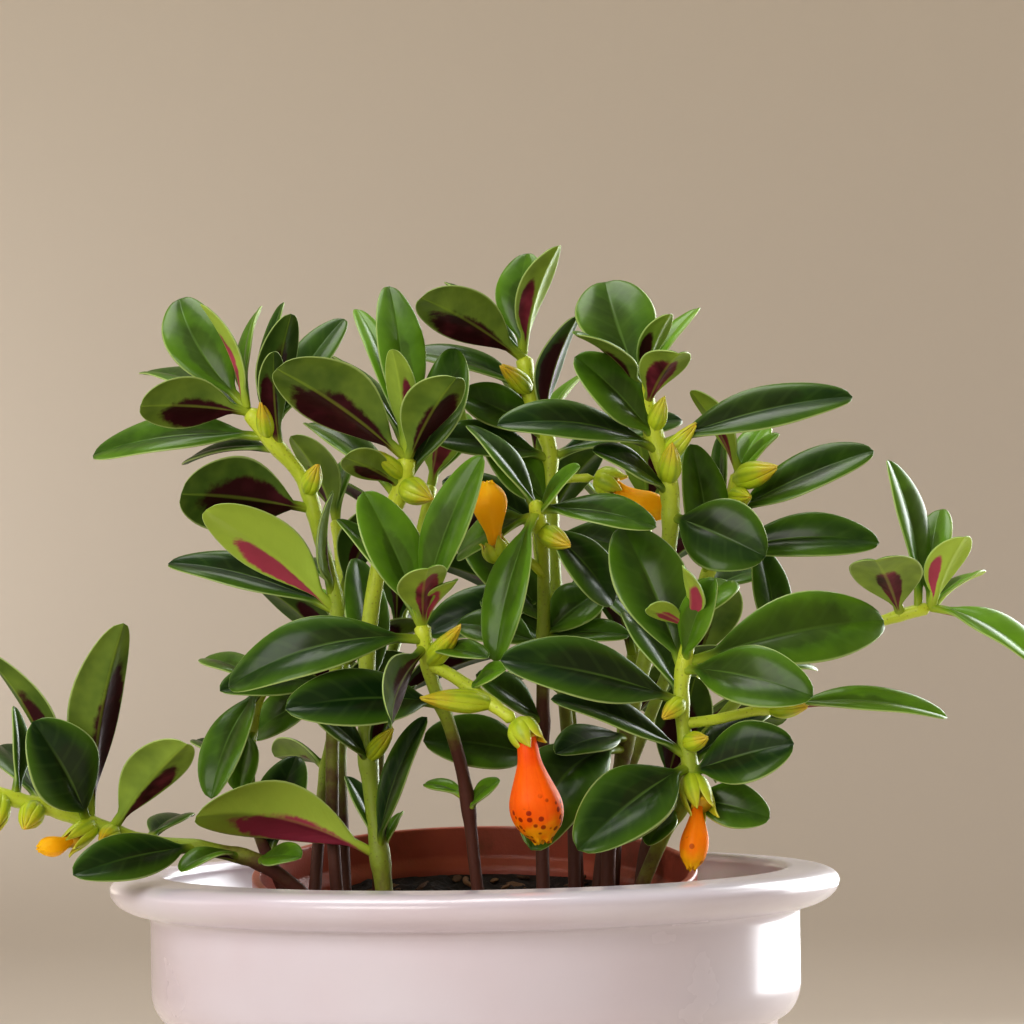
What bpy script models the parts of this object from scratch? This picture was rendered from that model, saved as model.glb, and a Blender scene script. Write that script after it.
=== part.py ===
"""Goldfish plant in a nursery pot that stands inside a glazed outer pot.

Sizes are in millimetres and become metres where meshes are made. +X is to the right, +Y to the back
and +Z up. The origin is the middle of the outer pot's flat base. The plant's tables give the middle of
each stem, the tip of each leaf and the far end of each bud, with heights counted from TABLE_ZERO, which
is close to the top of the outer pot's lip.
"""

import math
from dataclasses import dataclass, field

import bmesh
import bpy
from mathutils import Matrix, Vector
from mathutils.bvhtree import BVHTree

MM = 0.001
GAP = 0.3                     # left between pieces that touch
WELD = 1e-6                   # metres, closes seams of turned shapes and caps

# Outer pot
POT_HEIGHT = 120.0
LIP_DIAMETER = 160.0
LIP_EDGE = 3.2                # from the lip's top down to its widest line
LIP_DROP = 7.6                # height of the rounded underside, from there to the collar
MOUTH_DIAMETER = 136.0
COLLAR_DIAMETER = 142.4
COLLAR_DEPTH = 25.0           # lower end of the collar's straight part, below the lip's top
COLLAR_STEP_HEIGHT = 7.8
BODY_DIAMETER = 132.0         # under the collar
BASE_DIAMETER = 107.2
WALL = 5.0
FLOOR = 6.0
POT_SIDES = 36

# Nursery pot, which stands on its front edge with its back edge on the slope of the outer pot's wall
NURSERY_TILT = math.radians(8.4)
NURSERY_RIM_DIAMETER = 98.0
NURSERY_BASE_DIAMETER = 68.0
NURSERY_RIM_ABOVE_LIP = -0.4
NURSERY_WALL = 1.4
NURSERY_RIM_BAND = 9.0
NURSERY_BAND_PROUD = 1.5
DRAIN_HOLE = 7.0
DRAIN_CIRCLE = 40.0
DRAIN_HOLES = 4
NURSERY_SIDES = 24

# Plant
TABLE_ZERO = POT_HEIGHT - 1.4

# Soil and roots
SOIL_BELOW_RIM = 10.0
SOIL_BUMP = 1.3
SOIL_RINGS = 3
ROOT_DEPTH = 18.0
STEM_SIDES_RESOLUTION = 1     # six sides
STEM_HOLE_SIDES = 6

# Leaves
BLADE_THICK = 0.75
PETIOLE_WIDTH = 2.2
PETIOLE_SHARE = 0.12
BLADE_STATIONS = (0.0, 0.15, 0.36, 0.6, 0.84, 1.0)
SHORT_STATIONS = (0.0, 0.17, 0.48, 0.8, 1.0)
SHORT_LEAF = 34.0
BLADE_SIDES = (-1.0, 0.0, 1.0)
TIP_WIDTH = 1.0
LEAF_CLEARANCE = 0.4          # kept on each side of a blade while it is bent clear
OUTER_PART = 2                # first station of the part that keeps clear of its own shoot
STEM_STEP = 17.0

FRONT = Vector((0.0, -1.0, 0.0))
UP = Vector((0.0, 0.0, 1.0))


@dataclass
class Leaf:
    """A leaf: where it leaves its stem, its tip, its width and how its upper side is turned.

    at is a share of the stem's length above the soil. face is the angle in degrees between the
    front and the upper side: 0 shows the upper side to the front, 90 stands edge-on with the upper
    side up, and 180 shows the underside. With no face the upper side looks the way the stem grows.
    """

    at: float
    tip: tuple
    width: float
    face: float = None
    arch: float = 0.07
    cup: float = 0.25
    bend: float = 0.0         # sideways bow as a share of its length


@dataclass
class Bud:
    """A closed bud, or the calyx of a bloom where bloom names the corolla that it holds."""

    at: float
    tip: tuple
    width: float
    bloom: str = ""


@dataclass
class Twig:
    """A side stem that leaves its shoot at a share of its length."""

    at: float
    path: list
    radius: float = 1.1
    leaves: list = field(default_factory=list)
    buds: list = field(default_factory=list)


@dataclass
class Shoot:
    """A leafy stem, from its place on the soil (x, y) through the points of its path."""

    name: str
    root: tuple
    path: list
    thick: tuple
    leaves: list
    buds: list = field(default_factory=list)
    twigs: list = field(default_factory=list)


@dataclass
class Corolla:
    """A pouch-shaped corolla, seated in the calyx of the same name."""

    name: str
    mouth: tuple
    width: float
    colour: tuple = (0.95, 0.22, 0.01)


SHOOTS = [
    Shoot(
        "shoot_front_right", (32, -18), [(35, -21, -4), (41, -26, 10), (46.5, -30, 20),
                                         (45, -31, 34), (45, -32, 43), (46.5, -33, 51), (47, -33, 56)],
        (1.6, 1.5),
        [
            Leaf(0.83, (33, -24, 75.5), 17, 20),
            Leaf(0.86, (89.5, -16, 54.5), 16.5, 20, 0.1),
            Leaf(0.84, (71.5, -50, 39), 14, 25, 0.1),
            Leaf(0.74, (6.5, -48, 47.5), 15, 35),
            Leaf(0.55, (22, -52, 8), 16.5, 25, 0.1),
            Leaf(0.53, (68, -40, 29), 14, 25),
            Leaf(0.86, (52, -41, 64), 9, 40),
            Leaf(0.97, (37.5, -45, 58), 5, 150),
            Leaf(0.97, (56, -18, 63.5), 11, 40),
            Leaf(0.58, (17, -37, 39), 11, 60),
            Leaf(0.55, (64, -22, 37), 10, 60),
            Leaf(0.45, (63, -34, 13), 11, 30),
            Leaf(0.5, (27.5, -38, 8.5), 12, 35),
            Leaf(0.74, (33.5, -17, 57), 12, 50),
            Leaf(0.4, (37, -44, 8), 7, 40),
            Leaf(0.97, (45, -48, 66), 7, 120),
        ],
        [
            Bud(0.75, (40.5, -37, 34.5), 3.4),
            Bud(0.62, (50, -37, 30.5), 3.4),
            Bud(0.52, (49, -38, 14.5), 6.0, "bloom_low_right"),
        ],
        [Twig(0.68, [(52, -30, 34), (60, -26, 35.5), (66, -23, 36)], 1.2,
              [Leaf(1.0, (102.5, -20, 33.3), 11, 62, 0.08)],
              [Bud(0.9, (72, -28, 36.5), 3.6)])],
    ),
    Shoot(
        "shoot_front_left", (1.5, -14), [(0.5, -16, 0), (-1.5, -20, 20), (-4.5, -26, 33), (-8, -31, 43),
                                       (-9.5, -34, 51), (-10, -35, 56)],
        (1.3, 1.5),
        [
            Leaf(0.99, (-22, -36, 83.5), 13, 25),
            Leaf(0.94, (-51, -38, 42.5), 14.5, 35, 0.16),
            Leaf(0.72, (-38.5, -48, 38), 14, 30, 0.1),
            Leaf(0.99, (3.5, -42, 90.5), 12, 40),
            Leaf(0.99, (-8, -58, 68), 11, 155),
            Leaf(0.92, (-16, -61, 35.5), 12, 120),
            Leaf(0.97, (-28, -27, 78), 10, 60),
            Leaf(0.99, (-2.5, -50, 69), 9, 110),
            Leaf(0.9, (4, -46, 50), 7, 60),
            Leaf(0.36, (6, -22, 21.5), 6, 60),
            Leaf(0.4, (-10.5, -14, 20.5), 5.5, 60),
        ],
        [
            Bud(0.86, (-1.5, -44, 55), 3.6),
        ],
        [Twig(0.86, [(-4, -36, 44.5), (3, -41.5, 39.5), (9.5, -45.5, 34.7)], 1.4,
              [Leaf(0.5, (8, -50, 46), 6, 60)],
              [Bud(1.0, (13.3, -47.5, 29.7), 6.0, "bloom_front"),
               Bud(0.72, (-10.8, -49, 40), 4.2)])],
    ),
    Shoot(
        "shoot_centre", (15, 0), [(15, -1, 10), (15.5, -5, 35), (16, -12, 58), (16, -20, 71),
                                   (15, -27, 78), (14.5, -31, 81)],
        (1.5, 1.4),
        [
            Leaf(0.97, (5.5, -37, 47), 11, 35),
            Leaf(0.97, (40, -35, 75), 11, 50),
            Leaf(0.95, (0, -19, 98), 10, 60),
            Leaf(0.95, (-2.5, -18, 70), 11, 50),
            Leaf(0.93, (31, -18, 59), 12, 35),
            Leaf(0.62, (29, -8, 62), 13, 40),
            Leaf(0.34, (-10.5, -20, 30), 14, 35),
            Leaf(0.62, (34.5, -14, 52), 8, 50),
            Leaf(0.6, (-3, -4, 55), 13, 50),
            Leaf(0.93, (24, -38, 88), 8, 70),
        ],
        [
            Bud(0.9, (22, -30, 71.5), 4.0),
        ],
        [Twig(0.78, [(12, -21, 69), (7, -26, 68.5)], 1.0, [],
              [Bud(1.0, (5, -26.5, 73), 5.5, "bloom_centre")])],
    ),
    Shoot(
        "shoot_crown_right", (29, -3), [(30, -4, 10), (35, -5, 35), (41, -7, 58), (44, -8, 75),
                                        (43.5, -9, 86), (41, -9, 94.5), (38.5, -10, 104), (37.5, -10, 108)],
        (1.6, 1.9),
        [
            Leaf(0.74, (64, -19, 68.5), 17, 12),
            Leaf(0.86, (6.5, -26, 97.5), 13, 50, 0.1),
            Leaf(0.99, (31, 6, 130.5), 18, 12, 0.07, 0.25, -0.04),
            Leaf(0.87, (84.5, -6, 103.5), 13, 42, 0.06),
            Leaf(0.88, (23.5, -15, 112.5), 14, 35),
            Leaf(0.95, (45.5, -32, 112), 10.5, 150, 0.07, 0.4),
            Leaf(0.97, (51.5, 2, 124), 10, 65),
            Leaf(0.98, (23.5, -23, 116.5), 11, 100),
            Leaf(0.78, (27, -20, 92), 10, 60),
            Leaf(0.3, (12.3, -38, 7.3), 17, 20, 0.1, 0.25, 0.1),
            Leaf(0.32, (18, -20, 27), 10, 50),
            Leaf(0.99, (44, -24, 121), 7, 140),
        ],
        [
            Bud(0.9, (43, -14, 104), 3.4),
            Bud(0.8, (44.5, -15, 94), 4.2),
            Bud(0.84, (50, -12, 98), 3.4),
        ],
    ),
    Shoot(
        "shoot_upper_left", (-30, -2), [(-31, -2, 12), (-30.5, -3, 36), (-29, -5, 57), (-33, -7, 76),
                                        (-36, -8, 87), (-43, -10, 96), (-48, -11, 103)],
        (1.4, 1.6),
        [
            Leaf(0.99, (-70, -24, 103), 13, 150),
            Leaf(0.93, (-83, 2, 93.5), 13.5, 50),
            Leaf(0.77, (-61.5, -24, 84), 18, 158),
            Leaf(0.57, (-56, -26, 80.5), 15, 150),
            Leaf(0.57, (-67, 6, 69.5), 12, 50),
            Leaf(1.0, (-63.5, 3, 128), 14, 20, 0.07, 0.25, -0.09),
            Leaf(1.0, (-57, -21, 125), 8, 110),
            Leaf(0.92, (-37.5, -22, 122.5), 10, 145),
            Leaf(1.0, (-45.5, 6, 126), 9, 65),
            Leaf(0.97, (-73.5, 20, 112.5), 11, 60),
            Leaf(0.93, (-40, -3, 126.5), 8, 60),
            Leaf(0.6, (-29, -17, 84), 9, 100),
            Leaf(0.9, (-63.5, 10, 91.5), 9, 70),
            Leaf(0.9, (-41, -28, 114), 6.5, 160),
            Leaf(0.43, (-54, -21, 41.5), 11, 50),
            Leaf(0.5, (-41, 6, 53), 7, 70),
        ],
        [
            Bud(0.93, (-44.5, -17, 104), 3.2),
            Bud(0.8, (-32.5, -13, 90.5), 3.6),
        ],
    ),
    Shoot(
        "shoot_crown_left", (-19, -8), [(-20, -8, 0), (-22, -8, 18), (-23, -9, 32), (-22, -10, 55),
                                        (-18, -13, 75), (-14, -16, 86), (-13, -18, 92)],
        (2.0, 1.7),
        [
            Leaf(0.99, (-40, -34, 110), 17, 150, 0.07, 0.4),
            Leaf(1.0, (-17, 2, 130), 11, 20),
            Leaf(0.98, (-2, -34, 107.5), 13, 145, 0.07, 0.4),
            Leaf(0.93, (-2.5, -6, 115.5), 12, 30, 0.07, 0.25, 0.12),
            Leaf(1.0, (-24.5, 8, 125.5), 9, 40),
            Leaf(1.0, (-15.5, -30, 114), 7, 160),
            Leaf(1.0, (-30.5, 12, 115), 9, 70),
            Leaf(0.93, (-26, -30, 91), 8, 155),
            Leaf(0.9, (-36, 6, 100), 12, 60),
            Leaf(0.13, (-59, -27, 15), 17, 145, 0.14),
            Leaf(0.13, (-26, -16, 22.5), 9, 60),
            Leaf(0.14, (-9.5, -17, 34), 10, 55),
            Leaf(0.12, (-15.5, -2, 14), 8, 70),
            Leaf(0.33, (-36, -20, 38), 10, 60),
            Leaf(0.33, (-12, -22, 42), 9, 120),
            Leaf(0.45, (-22.5, 2, 70), 11, 30),
        ],
        [
            Bud(0.95, (-21.5, -23, 93), 3.4),
            Bud(0.93, (-7.5, -21, 82), 5.0),
            Bud(0.34, (-17, -18, 33), 3.2),
        ],
    ),
    Shoot(
        "shoot_crown", (22, 8), [(22, 8, 10), (21, 8, 30), (19.5, 8, 51), (18.5, 8, 70), (18, 8, 84),
                                 (18, 8, 94), (14.5, 8, 103), (12.5, 8, 115)],
        (1.4, 1.6),
        [
            Leaf(0.99, (-9.5, -14, 126), 14, 150),
            Leaf(1.0, (13.5, 16, 138), 12, 25),
            Leaf(1.0, (20.5, -6, 137.5), 11, 125),
            Leaf(0.86, (24.5, -4, 122.5), 11, 120),
            Leaf(0.93, (-13.5, 16, 116), 12, 60),
            Leaf(0.98, (-5, 20, 132), 9, 70),
            Leaf(0.8, (-8, 0, 96), 12, 45),
            Leaf(0.8, (48, 16, 100), 12, 50),
            Leaf(0.66, (36, -1, 70), 11, 40),
            Leaf(0.66, (-6, 10, 87), 12, 45),
            Leaf(0.84, (-2, 12, 106), 13, 40),
            Leaf(0.7, (4, 2, 96), 12, 30),
            Leaf(0.48, (-2, 4, 75), 13, 30),
            Leaf(0.45, (2, 2, 60), 11, 45),
        ],
        [
            Bud(0.93, (7.5, -1, 112), 3.6),
        ],
        [Twig(0.76, [(23, 7, 87), (28, 5, 87)], 1.0, [],
              [Bud(1.0, (34, 4, 85), 6.0, "bloom_behind")])],
    ),
    Shoot(
        "shoot_right", (27, 13), [(30, 12, 10), (40, 12, 35), (50, 12, 58), (56, 10, 74),
                                  (59, 8, 84), (60, 7, 88)],
        (1.4, 1.4),
        [
            Leaf(0.8, (90.5, 2, 71.5), 13, 40, 0.1),
            Leaf(0.89, (90, 6, 92), 13, 45, 0.05),
            Leaf(1.0, (49.5, 4, 106), 9, 120),
            Leaf(0.99, (67, 18, 98.5), 8, 40),
            Leaf(0.97, (69, 4, 94), 7, 70),
            Leaf(0.9, (57.5, 14, 98), 7, 60),
            Leaf(0.7, (68, 26, 66), 11, 60),
            Leaf(0.55, (30, 24, 62), 12, 50),
            Leaf(0.76, (49, 5, 94), 12, 30),
        ],
        [
            Bud(0.98, (68, -3, 88.5), 5.0),
            Bud(0.94, (62, -2, 82), 3.6),
        ],
    ),
    Shoot(
        "shoot_low_left", (-40, -4), [(-43, -4, 0), (-47, -6, 10), (-49, -8, 22), (-47.5, -8, 36),
                                      (-45, -8, 43)],
        (1.3, 1.2),
        [
            Leaf(0.98, (-56, -23, 18.5), 12, 40, 0.1),
            Leaf(0.8, (-50.5, -13, 19.5), 9, 30),
            Leaf(0.25, (-39, -7, 26.5), 12, 25),
            Leaf(0.98, (-60, 12, 48), 9, 55),
            Leaf(0.6, (-62, 10, 30), 9, 60),
            Leaf(0.99, (-38, 6, 50), 9, 45),
        ],
    ),
    Shoot(
        "shoot_trail_left", (-34, -16), [(-36.5, -17.5, -3), (-46, -20, 4.5), (-54, -21, 7),
                                         (-62, -22, 8.5), (-70, -23, 9.5), (-80, -24, 13),
                                         (-88.5, -25, 16.5), (-97, -26, 19), (-104, -27, 21)],
        (1.6, 1.5),
        [
            Leaf(0.71, (-73.3, -34, 56.5), 13.5, 140, 0.07, 0.45),
            Leaf(0.72, (-92.5, -37, 36), 17, 30, 0.1),
            Leaf(0.65, (-59.5, -43, 31), 12.5, 150, 0.07, 0.4),
            Leaf(0.79, (-103, -36, 51), 11, 125, 0.1, 0.4),
            Leaf(0.42, (-83.5, -45, 4), 12, 35, 0.05),
            Leaf(0.98, (-119, -14, 42), 12, 40),
            Leaf(0.98, (-124, -38, 24), 12, 60, 0.1),
            Leaf(0.85, (-104, -2, 30), 12, 50),
            Leaf(0.55, (-63, 0, 13.5), 9, 60),
            Leaf(0.3, (-62, -32, 3.5), 9, 75, 0.12),
            Leaf(0.25, (-36.5, -30, 6), 8, 60),
            Leaf(0.92, (-98.5, -20, 39), 6, 60),
        ],
        [
            Bud(0.96, (-101, -34, 12.5), 4.5),
            Bud(0.86, (-95, -33, 13), 4.5),
            Bud(0.7, (-86, -32, 9.5), 4.5, "bloom_trail"),
            Bud(0.64, (-79, -31, 10.5), 3.6),
            Bud(1.0, (-111, -31, 25), 4.0),
        ],
    ),
    Shoot(
        "shoot_trail_right", (36, 5), [(39, 8, 8), (48, 10, 24), (60, 10, 38), (74, 8, 47.5),
                                       (86, 4, 52.5), (91.5, 2, 54.5), (98.5, 0, 56.5), (101.5, 0, 57)],
        (1.4, 1.2),
        [
            Leaf(0.97, (93, 6, 90), 13, 55),
            Leaf(0.93, (87.5, -22, 67.5), 16, 150),
            Leaf(1.0, (124, -10, 43.5), 15, 62, 0.1),
            Leaf(1.0, (107, -20, 71), 10, 150),
            Leaf(1.0, (105.5, 9, 79), 10, 35),
            Leaf(1.0, (114.5, 11, 64.5), 9, 80),
            Leaf(0.62, (64.5, 14, 71.5), 10, 30),
            Leaf(0.62, (74, 28, 44), 12, 60),
            Leaf(0.8, (70, 28, 60), 11, 60),
            Leaf(0.4, (54, 28, 22), 12, 60),
        ],
    ),
]

COROLLAS = [
    Corolla("bloom_front", (14.8, -48, 9.5), 11.0),
    Corolla("bloom_centre", (4.2, -26.5, 85.5), 7.5, (0.95, 0.33, 0.01)),
    Corolla("bloom_behind", (43.5, 3, 78.5), 7.0, (0.95, 0.33, 0.01)),
    Corolla("bloom_low_right", (46, -41, 3), 6.0),
    Corolla("bloom_trail", (-92, -34, 9), 4.4, (0.95, 0.33, 0.01)),
]


@dataclass
class BackShoot:
    """A leafy stem of the far side, whose leaves stand in crossed pairs up its path."""

    name: str
    root: tuple
    path: list
    pairs: int
    length: float
    width: float
    first: float = 0.4        # share of the stem where the lowest pair stands
    turn: float = 35.0        # degrees round the stem to the lowest pair


BACK_SHOOTS = [
    BackShoot("shoot_back_1", (-29, 13), [(-30, 20, 28), (-29, 30, 56), (-31, 37, 80)], 4, 28, 13),
    BackShoot("shoot_back_2", (-22, 22), [(-21, 30, 34), (-15, 42, 62), (-9, 48, 88)], 4, 31, 13, 0.42, 80),
    BackShoot("shoot_back_3", (23, 23), [(22, 32, 34), (16, 45, 64), (16, 50, 94)], 4, 31, 13, 0.42, 20),
    BackShoot("shoot_back_4", (31, 23), [(34, 33, 30), (38, 44, 54), (41, 48, 80)], 4, 30, 13, 0.42, 60),
    BackShoot("shoot_back_5", (-36, 12), [(-34, 24, 20), (-31, 39, 38), (-31, 48, 54)], 3, 22, 12, 0.45, 50),
    BackShoot("shoot_back_6", (37, 15), [(43, 30, 16), (48, 46, 30), (52, 56, 44)], 3, 27, 13, 0.42, 10),
]
BACK_SPREAD = 58.0            # degrees between a back leaf and its stem
BACK_TOP_SPREAD = 28.0
BACK_STEM_THICK = (1.4, 1.2)

SHIFT_REACHES = (0.0, 2.0, 4.0, 6.0, 8.0, 10.0, 12.0, 15.0, 18.0, 22.0, 26.0)
SHIFT_WAYS = (                # way of a shift, and how much it costs beside one in depth
    ((0.0, -1.0, 0.0), 1.0), ((0.0, 1.0, 0.0), 1.0),
    ((0.0, -0.8, 0.6), 1.8), ((0.0, 0.8, 0.6), 1.8), ((0.0, -0.8, -0.6), 1.8), ((0.0, 0.8, -0.6), 1.8),
    ((0.0, 0.0, 1.0), 2.6), ((0.0, 0.0, -1.0), 2.6),
    ((0.7, 0.7, 0.0), 2.2), ((-0.7, 0.7, 0.0), 2.2), ((0.7, -0.7, 0.0), 2.2), ((-0.7, -0.7, 0.0), 2.2),
)


# ---------------------------------------------------------------- objects and materials

def clear_scene():
    for item in list(bpy.data.objects):
        bpy.data.objects.remove(item)


def new_collection(name):
    collection = bpy.data.collections.new(name)
    bpy.context.scene.collection.children.link(collection)
    return collection


def new_material(name, colour, roughness, metallic=0.0):
    material = bpy.data.materials.new(name)
    material.use_nodes = True
    shader = material.node_tree.nodes["Principled BSDF"]
    shader.inputs["Base Color"].default_value = (*colour, 1.0)
    shader.inputs["Roughness"].default_value = roughness
    shader.inputs["Metallic"].default_value = metallic
    return material


def new_object(name, data, collection):
    item = bpy.data.objects.new(name, data)
    collection.objects.link(item)
    return item


def settled_mesh(item):
    """The mesh of an object with its modifiers applied."""
    bpy.context.view_layer.update()
    evaluated = item.evaluated_get(bpy.context.evaluated_depsgraph_get())
    return bpy.data.meshes.new_from_object(evaluated)


def weld(mesh, distance=WELD):
    edit = bmesh.new()
    edit.from_mesh(mesh)
    bmesh.ops.remove_doubles(edit, verts=edit.verts, dist=distance)
    edit.to_mesh(mesh)
    edit.free()


def drop_scraps(mesh):
    """Keep only the largest body of a joined mesh."""
    edit = bmesh.new()
    edit.from_mesh(mesh)
    left = set(edit.faces)
    bodies = []
    while left:
        reached = [left.pop()]
        for face in reached:
            near = {other for edge in face.edges for other in edge.link_faces} & left
            left -= near
            reached += near
        bodies.append(reached)
    bodies.sort(key=len)
    scraps = [face for body in bodies[:-1] for face in body]
    bmesh.ops.delete(edit, geom=scraps, context="FACES")
    edit.to_mesh(mesh)
    edit.free()


def dress(item, material):
    item.data.materials.clear()
    item.data.materials.append(material)
    item.data.shade_smooth()
    item.data.set_sharp_from_angle(angle=math.radians(40))


# ---------------------------------------------------------------- turned shapes and tubes

def turned(name, profile, sides, collection):
    """A body of revolution about Z from (radius, height) points that run down its outer side."""
    mesh = bpy.data.meshes.new(name)
    mesh.from_pydata([(r * MM, 0.0, z * MM) for r, z in profile],
                     [(i, i + 1) for i in range(len(profile) - 1)], [])
    item = new_object(name, mesh, collection)
    screw = item.modifiers.new("Turn", "SCREW")
    screw.steps = sides
    screw.render_steps = sides
    screw.use_merge_vertices = True
    screw.merge_threshold = WELD
    item.data = settled_mesh(item)
    item.modifiers.clear()
    weld(item.data)
    return item


def turned_between(name, shape, sides, start, end, width, collection):
    """A turned body along the line from start to end, from (share of length, share of width) points."""
    length = (end - start).length
    profile = [(r * width / 2, length * (1.0 - t)) for t, r in reversed(shape)]
    item = turned(name, profile[::-1], sides, collection)
    turn = (start - end).normalized().to_track_quat("Z", "Y").to_matrix().to_4x4()
    item.data.transform(Matrix.Translation(end * MM) @ turn)
    return item


def tube(name, points, radii, collection):
    """A closed round tube through points, as a mesh."""
    curve = bpy.data.curves.new(name, "CURVE")
    curve.dimensions = "3D"
    curve.bevel_depth = MM
    curve.bevel_resolution = STEM_SIDES_RESOLUTION
    curve.use_fill_caps = True
    spline = curve.splines.new("POLY")
    spline.points.add(len(points) - 1)
    for knot, point, radius in zip(spline.points, points, radii):
        knot.co = (*(point * MM), 1.0)
        knot.radius = radius
    guide = new_object(name + "_guide", curve, collection)
    item = new_object(name, settled_mesh(guide), collection)
    bpy.data.objects.remove(guide)
    weld(item.data)
    return item


def smooth_path(knots, step):
    """Points about a step apart on a smooth curve through the knots (Catmull-Rom)."""
    ends = [knots[0] * 2 - knots[1], *knots, knots[-1] * 2 - knots[-2]]
    points = [knots[0]]
    for before, start, end, after in zip(ends, ends[1:], ends[2:], ends[3:]):
        pieces = max(1, round((end - start).length / step))
        for piece in range(1, pieces + 1):
            t = piece / pieces
            points.append(0.5 * (start * 2 + (end - before) * t
                                 + (before * 2 - start * 5 + end * 4 - after) * t ** 2
                                 + (start * 3 - before - end * 3 + after) * t ** 3))
    return points


# ---------------------------------------------------------------- pots and soil

def outer_pot(collection):
    """The glazed pot: a flat lip, a collar that steps in, and a body that tapers to a flat base."""
    lip, mouth, collar = LIP_DIAMETER / 2, MOUTH_DIAMETER / 2, COLLAR_DIAMETER / 2
    body, base = BODY_DIAMETER / 2, BASE_DIAMETER / 2
    top = POT_HEIGHT
    edge = top - LIP_EDGE
    step = top - COLLAR_DEPTH
    inside = [(0, FLOOR), (base - WALL - 3, FLOOR), (base - WALL, FLOOR + 2.5),
              (body - WALL, step - 13), (collar - WALL - 0.5, step + 1), (collar - WALL, edge - LIP_DROP),
              (mouth, top - 4), (mouth + 0.3, top - 1), (mouth + 1.5, top)]
    lip_top = [(lip - 5.5, top - 0.5), (lip - 0.8, top - LIP_EDGE / 2)]
    underside = [(collar + (lip - collar) * math.cos(a), edge - LIP_DROP * math.sin(a))
                 for a in (math.radians(d) for d in (0, 28, 52, 74, 90))]
    collar_step = [(collar - (collar - body) * (1 - math.cos(a)), step - COLLAR_STEP_HEIGHT * math.sin(a))
                   for a in (math.radians(d) for d in (0, 35, 65, 90))]
    outside = [(base, 1.5), (base - 1.5, 0), (0, 0)]
    pot = turned("cachepot", inside + lip_top + underside + collar_step + outside, POT_SIDES, collection)
    dress(pot, new_material("white_glaze", (0.86, 0.83, 0.83), 0.08))
    return pot


def nursery_frame():
    """Height of the nursery pot and the matrix that stands it, tilted, inside the outer pot."""
    base = NURSERY_BASE_DIAMETER / 2
    base_z = FLOOR + GAP + base * math.sin(NURSERY_TILT)
    height = (POT_HEIGHT + NURSERY_RIM_ABOVE_LIP - base_z) / math.cos(NURSERY_TILT)
    base_y = height * math.sin(NURSERY_TILT)
    stand = Matrix.Translation(Vector((0, base_y, base_z)) * MM) @ Matrix.Rotation(NURSERY_TILT, 4, "X")
    return height, stand


def nursery_radius(z, height):
    """Outer radius of the nursery pot's tapered side, under its rim band."""
    rim = NURSERY_RIM_DIAMETER / 2 - NURSERY_BAND_PROUD
    base = NURSERY_BASE_DIAMETER / 2
    return base + (rim - base) * z / height


def nursery_pot(collection):
    """The thin plastic pot, with a rim band and drain holes."""
    height, stand = nursery_frame()
    rim, wall, floor = NURSERY_RIM_DIAMETER / 2, NURSERY_WALL, NURSERY_WALL + 0.6
    band = height - NURSERY_RIM_BAND
    profile = [(0, floor), (nursery_radius(floor, height) - wall, floor),
               (nursery_radius(band, height) - wall, band),
               (rim - wall - 0.6, height), (rim - 0.5, height), (rim, height - 0.6), (rim - 0.3, band),
               (nursery_radius(band, height), band - 0.8),
               (nursery_radius(1, height), 1), (nursery_radius(0, height) - 1, 0), (0, 0)]
    pot = turned("nursery_pot", profile, NURSERY_SIDES, collection)
    for number in range(DRAIN_HOLES):
        angle = math.tau * (number + 0.5) / DRAIN_HOLES
        cutter = cylinder("drain_cutter", DRAIN_HOLE / 2, (DRAIN_CIRCLE / 2 * math.cos(angle),
                                                           DRAIN_CIRCLE / 2 * math.sin(angle)), -2, 4, 8)
        cut(pot, cutter)
    pot.data.transform(stand)
    dress(pot, new_material("brown_plastic", (0.20, 0.045, 0.025), 0.42))
    return pot


def cylinder(name, radius, centre, low, high, sides):
    """A closed upright cylinder between two heights, for cutting."""
    edit = bmesh.new()
    bmesh.ops.create_cone(edit, cap_ends=True, segments=sides, radius1=radius * MM, radius2=radius * MM,
                          depth=(high - low) * MM,
                          matrix=Matrix.Translation(Vector((*centre, (low + high) / 2)) * MM))
    mesh = bpy.data.meshes.new(name)
    edit.to_mesh(mesh)
    edit.free()
    item = new_object(name, mesh, CUTTERS)
    item.hide_render = True
    item.display_type = "WIRE"
    return item


def cut(item, cutter):
    combine(item, "DIFFERENCE", cutter=cutter)
    bpy.data.objects.remove(cutter)


def combine(item, operation, cutter=None, pieces=None):
    """Apply one Boolean, with the MANIFOLD solver where EXACT leaves the body open."""
    for solver in ("EXACT", "MANIFOLD"):
        boolean = item.modifiers.new("Combine", "BOOLEAN")
        boolean.operation = operation
        boolean.solver = solver
        if pieces:
            boolean.operand_type = "COLLECTION"
            boolean.collection = pieces
        else:
            boolean.object = cutter
        mesh = settled_mesh(item)
        item.modifiers.clear()
        if solver == "MANIFOLD" or is_closed(mesh):
            item.data = mesh
            return


def is_closed(mesh):
    edit = bmesh.new()
    edit.from_mesh(mesh)
    closed_body = all(len(edge.link_faces) == 2 for edge in edit.edges)
    edit.free()
    return closed_body


def soil_height(y):
    """Height of the level soil above the lip, at a distance behind the pot's middle."""
    middle = NURSERY_RIM_ABOVE_LIP - SOIL_BELOW_RIM * math.cos(NURSERY_TILT)
    return middle + (y - SOIL_BELOW_RIM * math.sin(NURSERY_TILT)) * math.tan(NURSERY_TILT)


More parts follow.
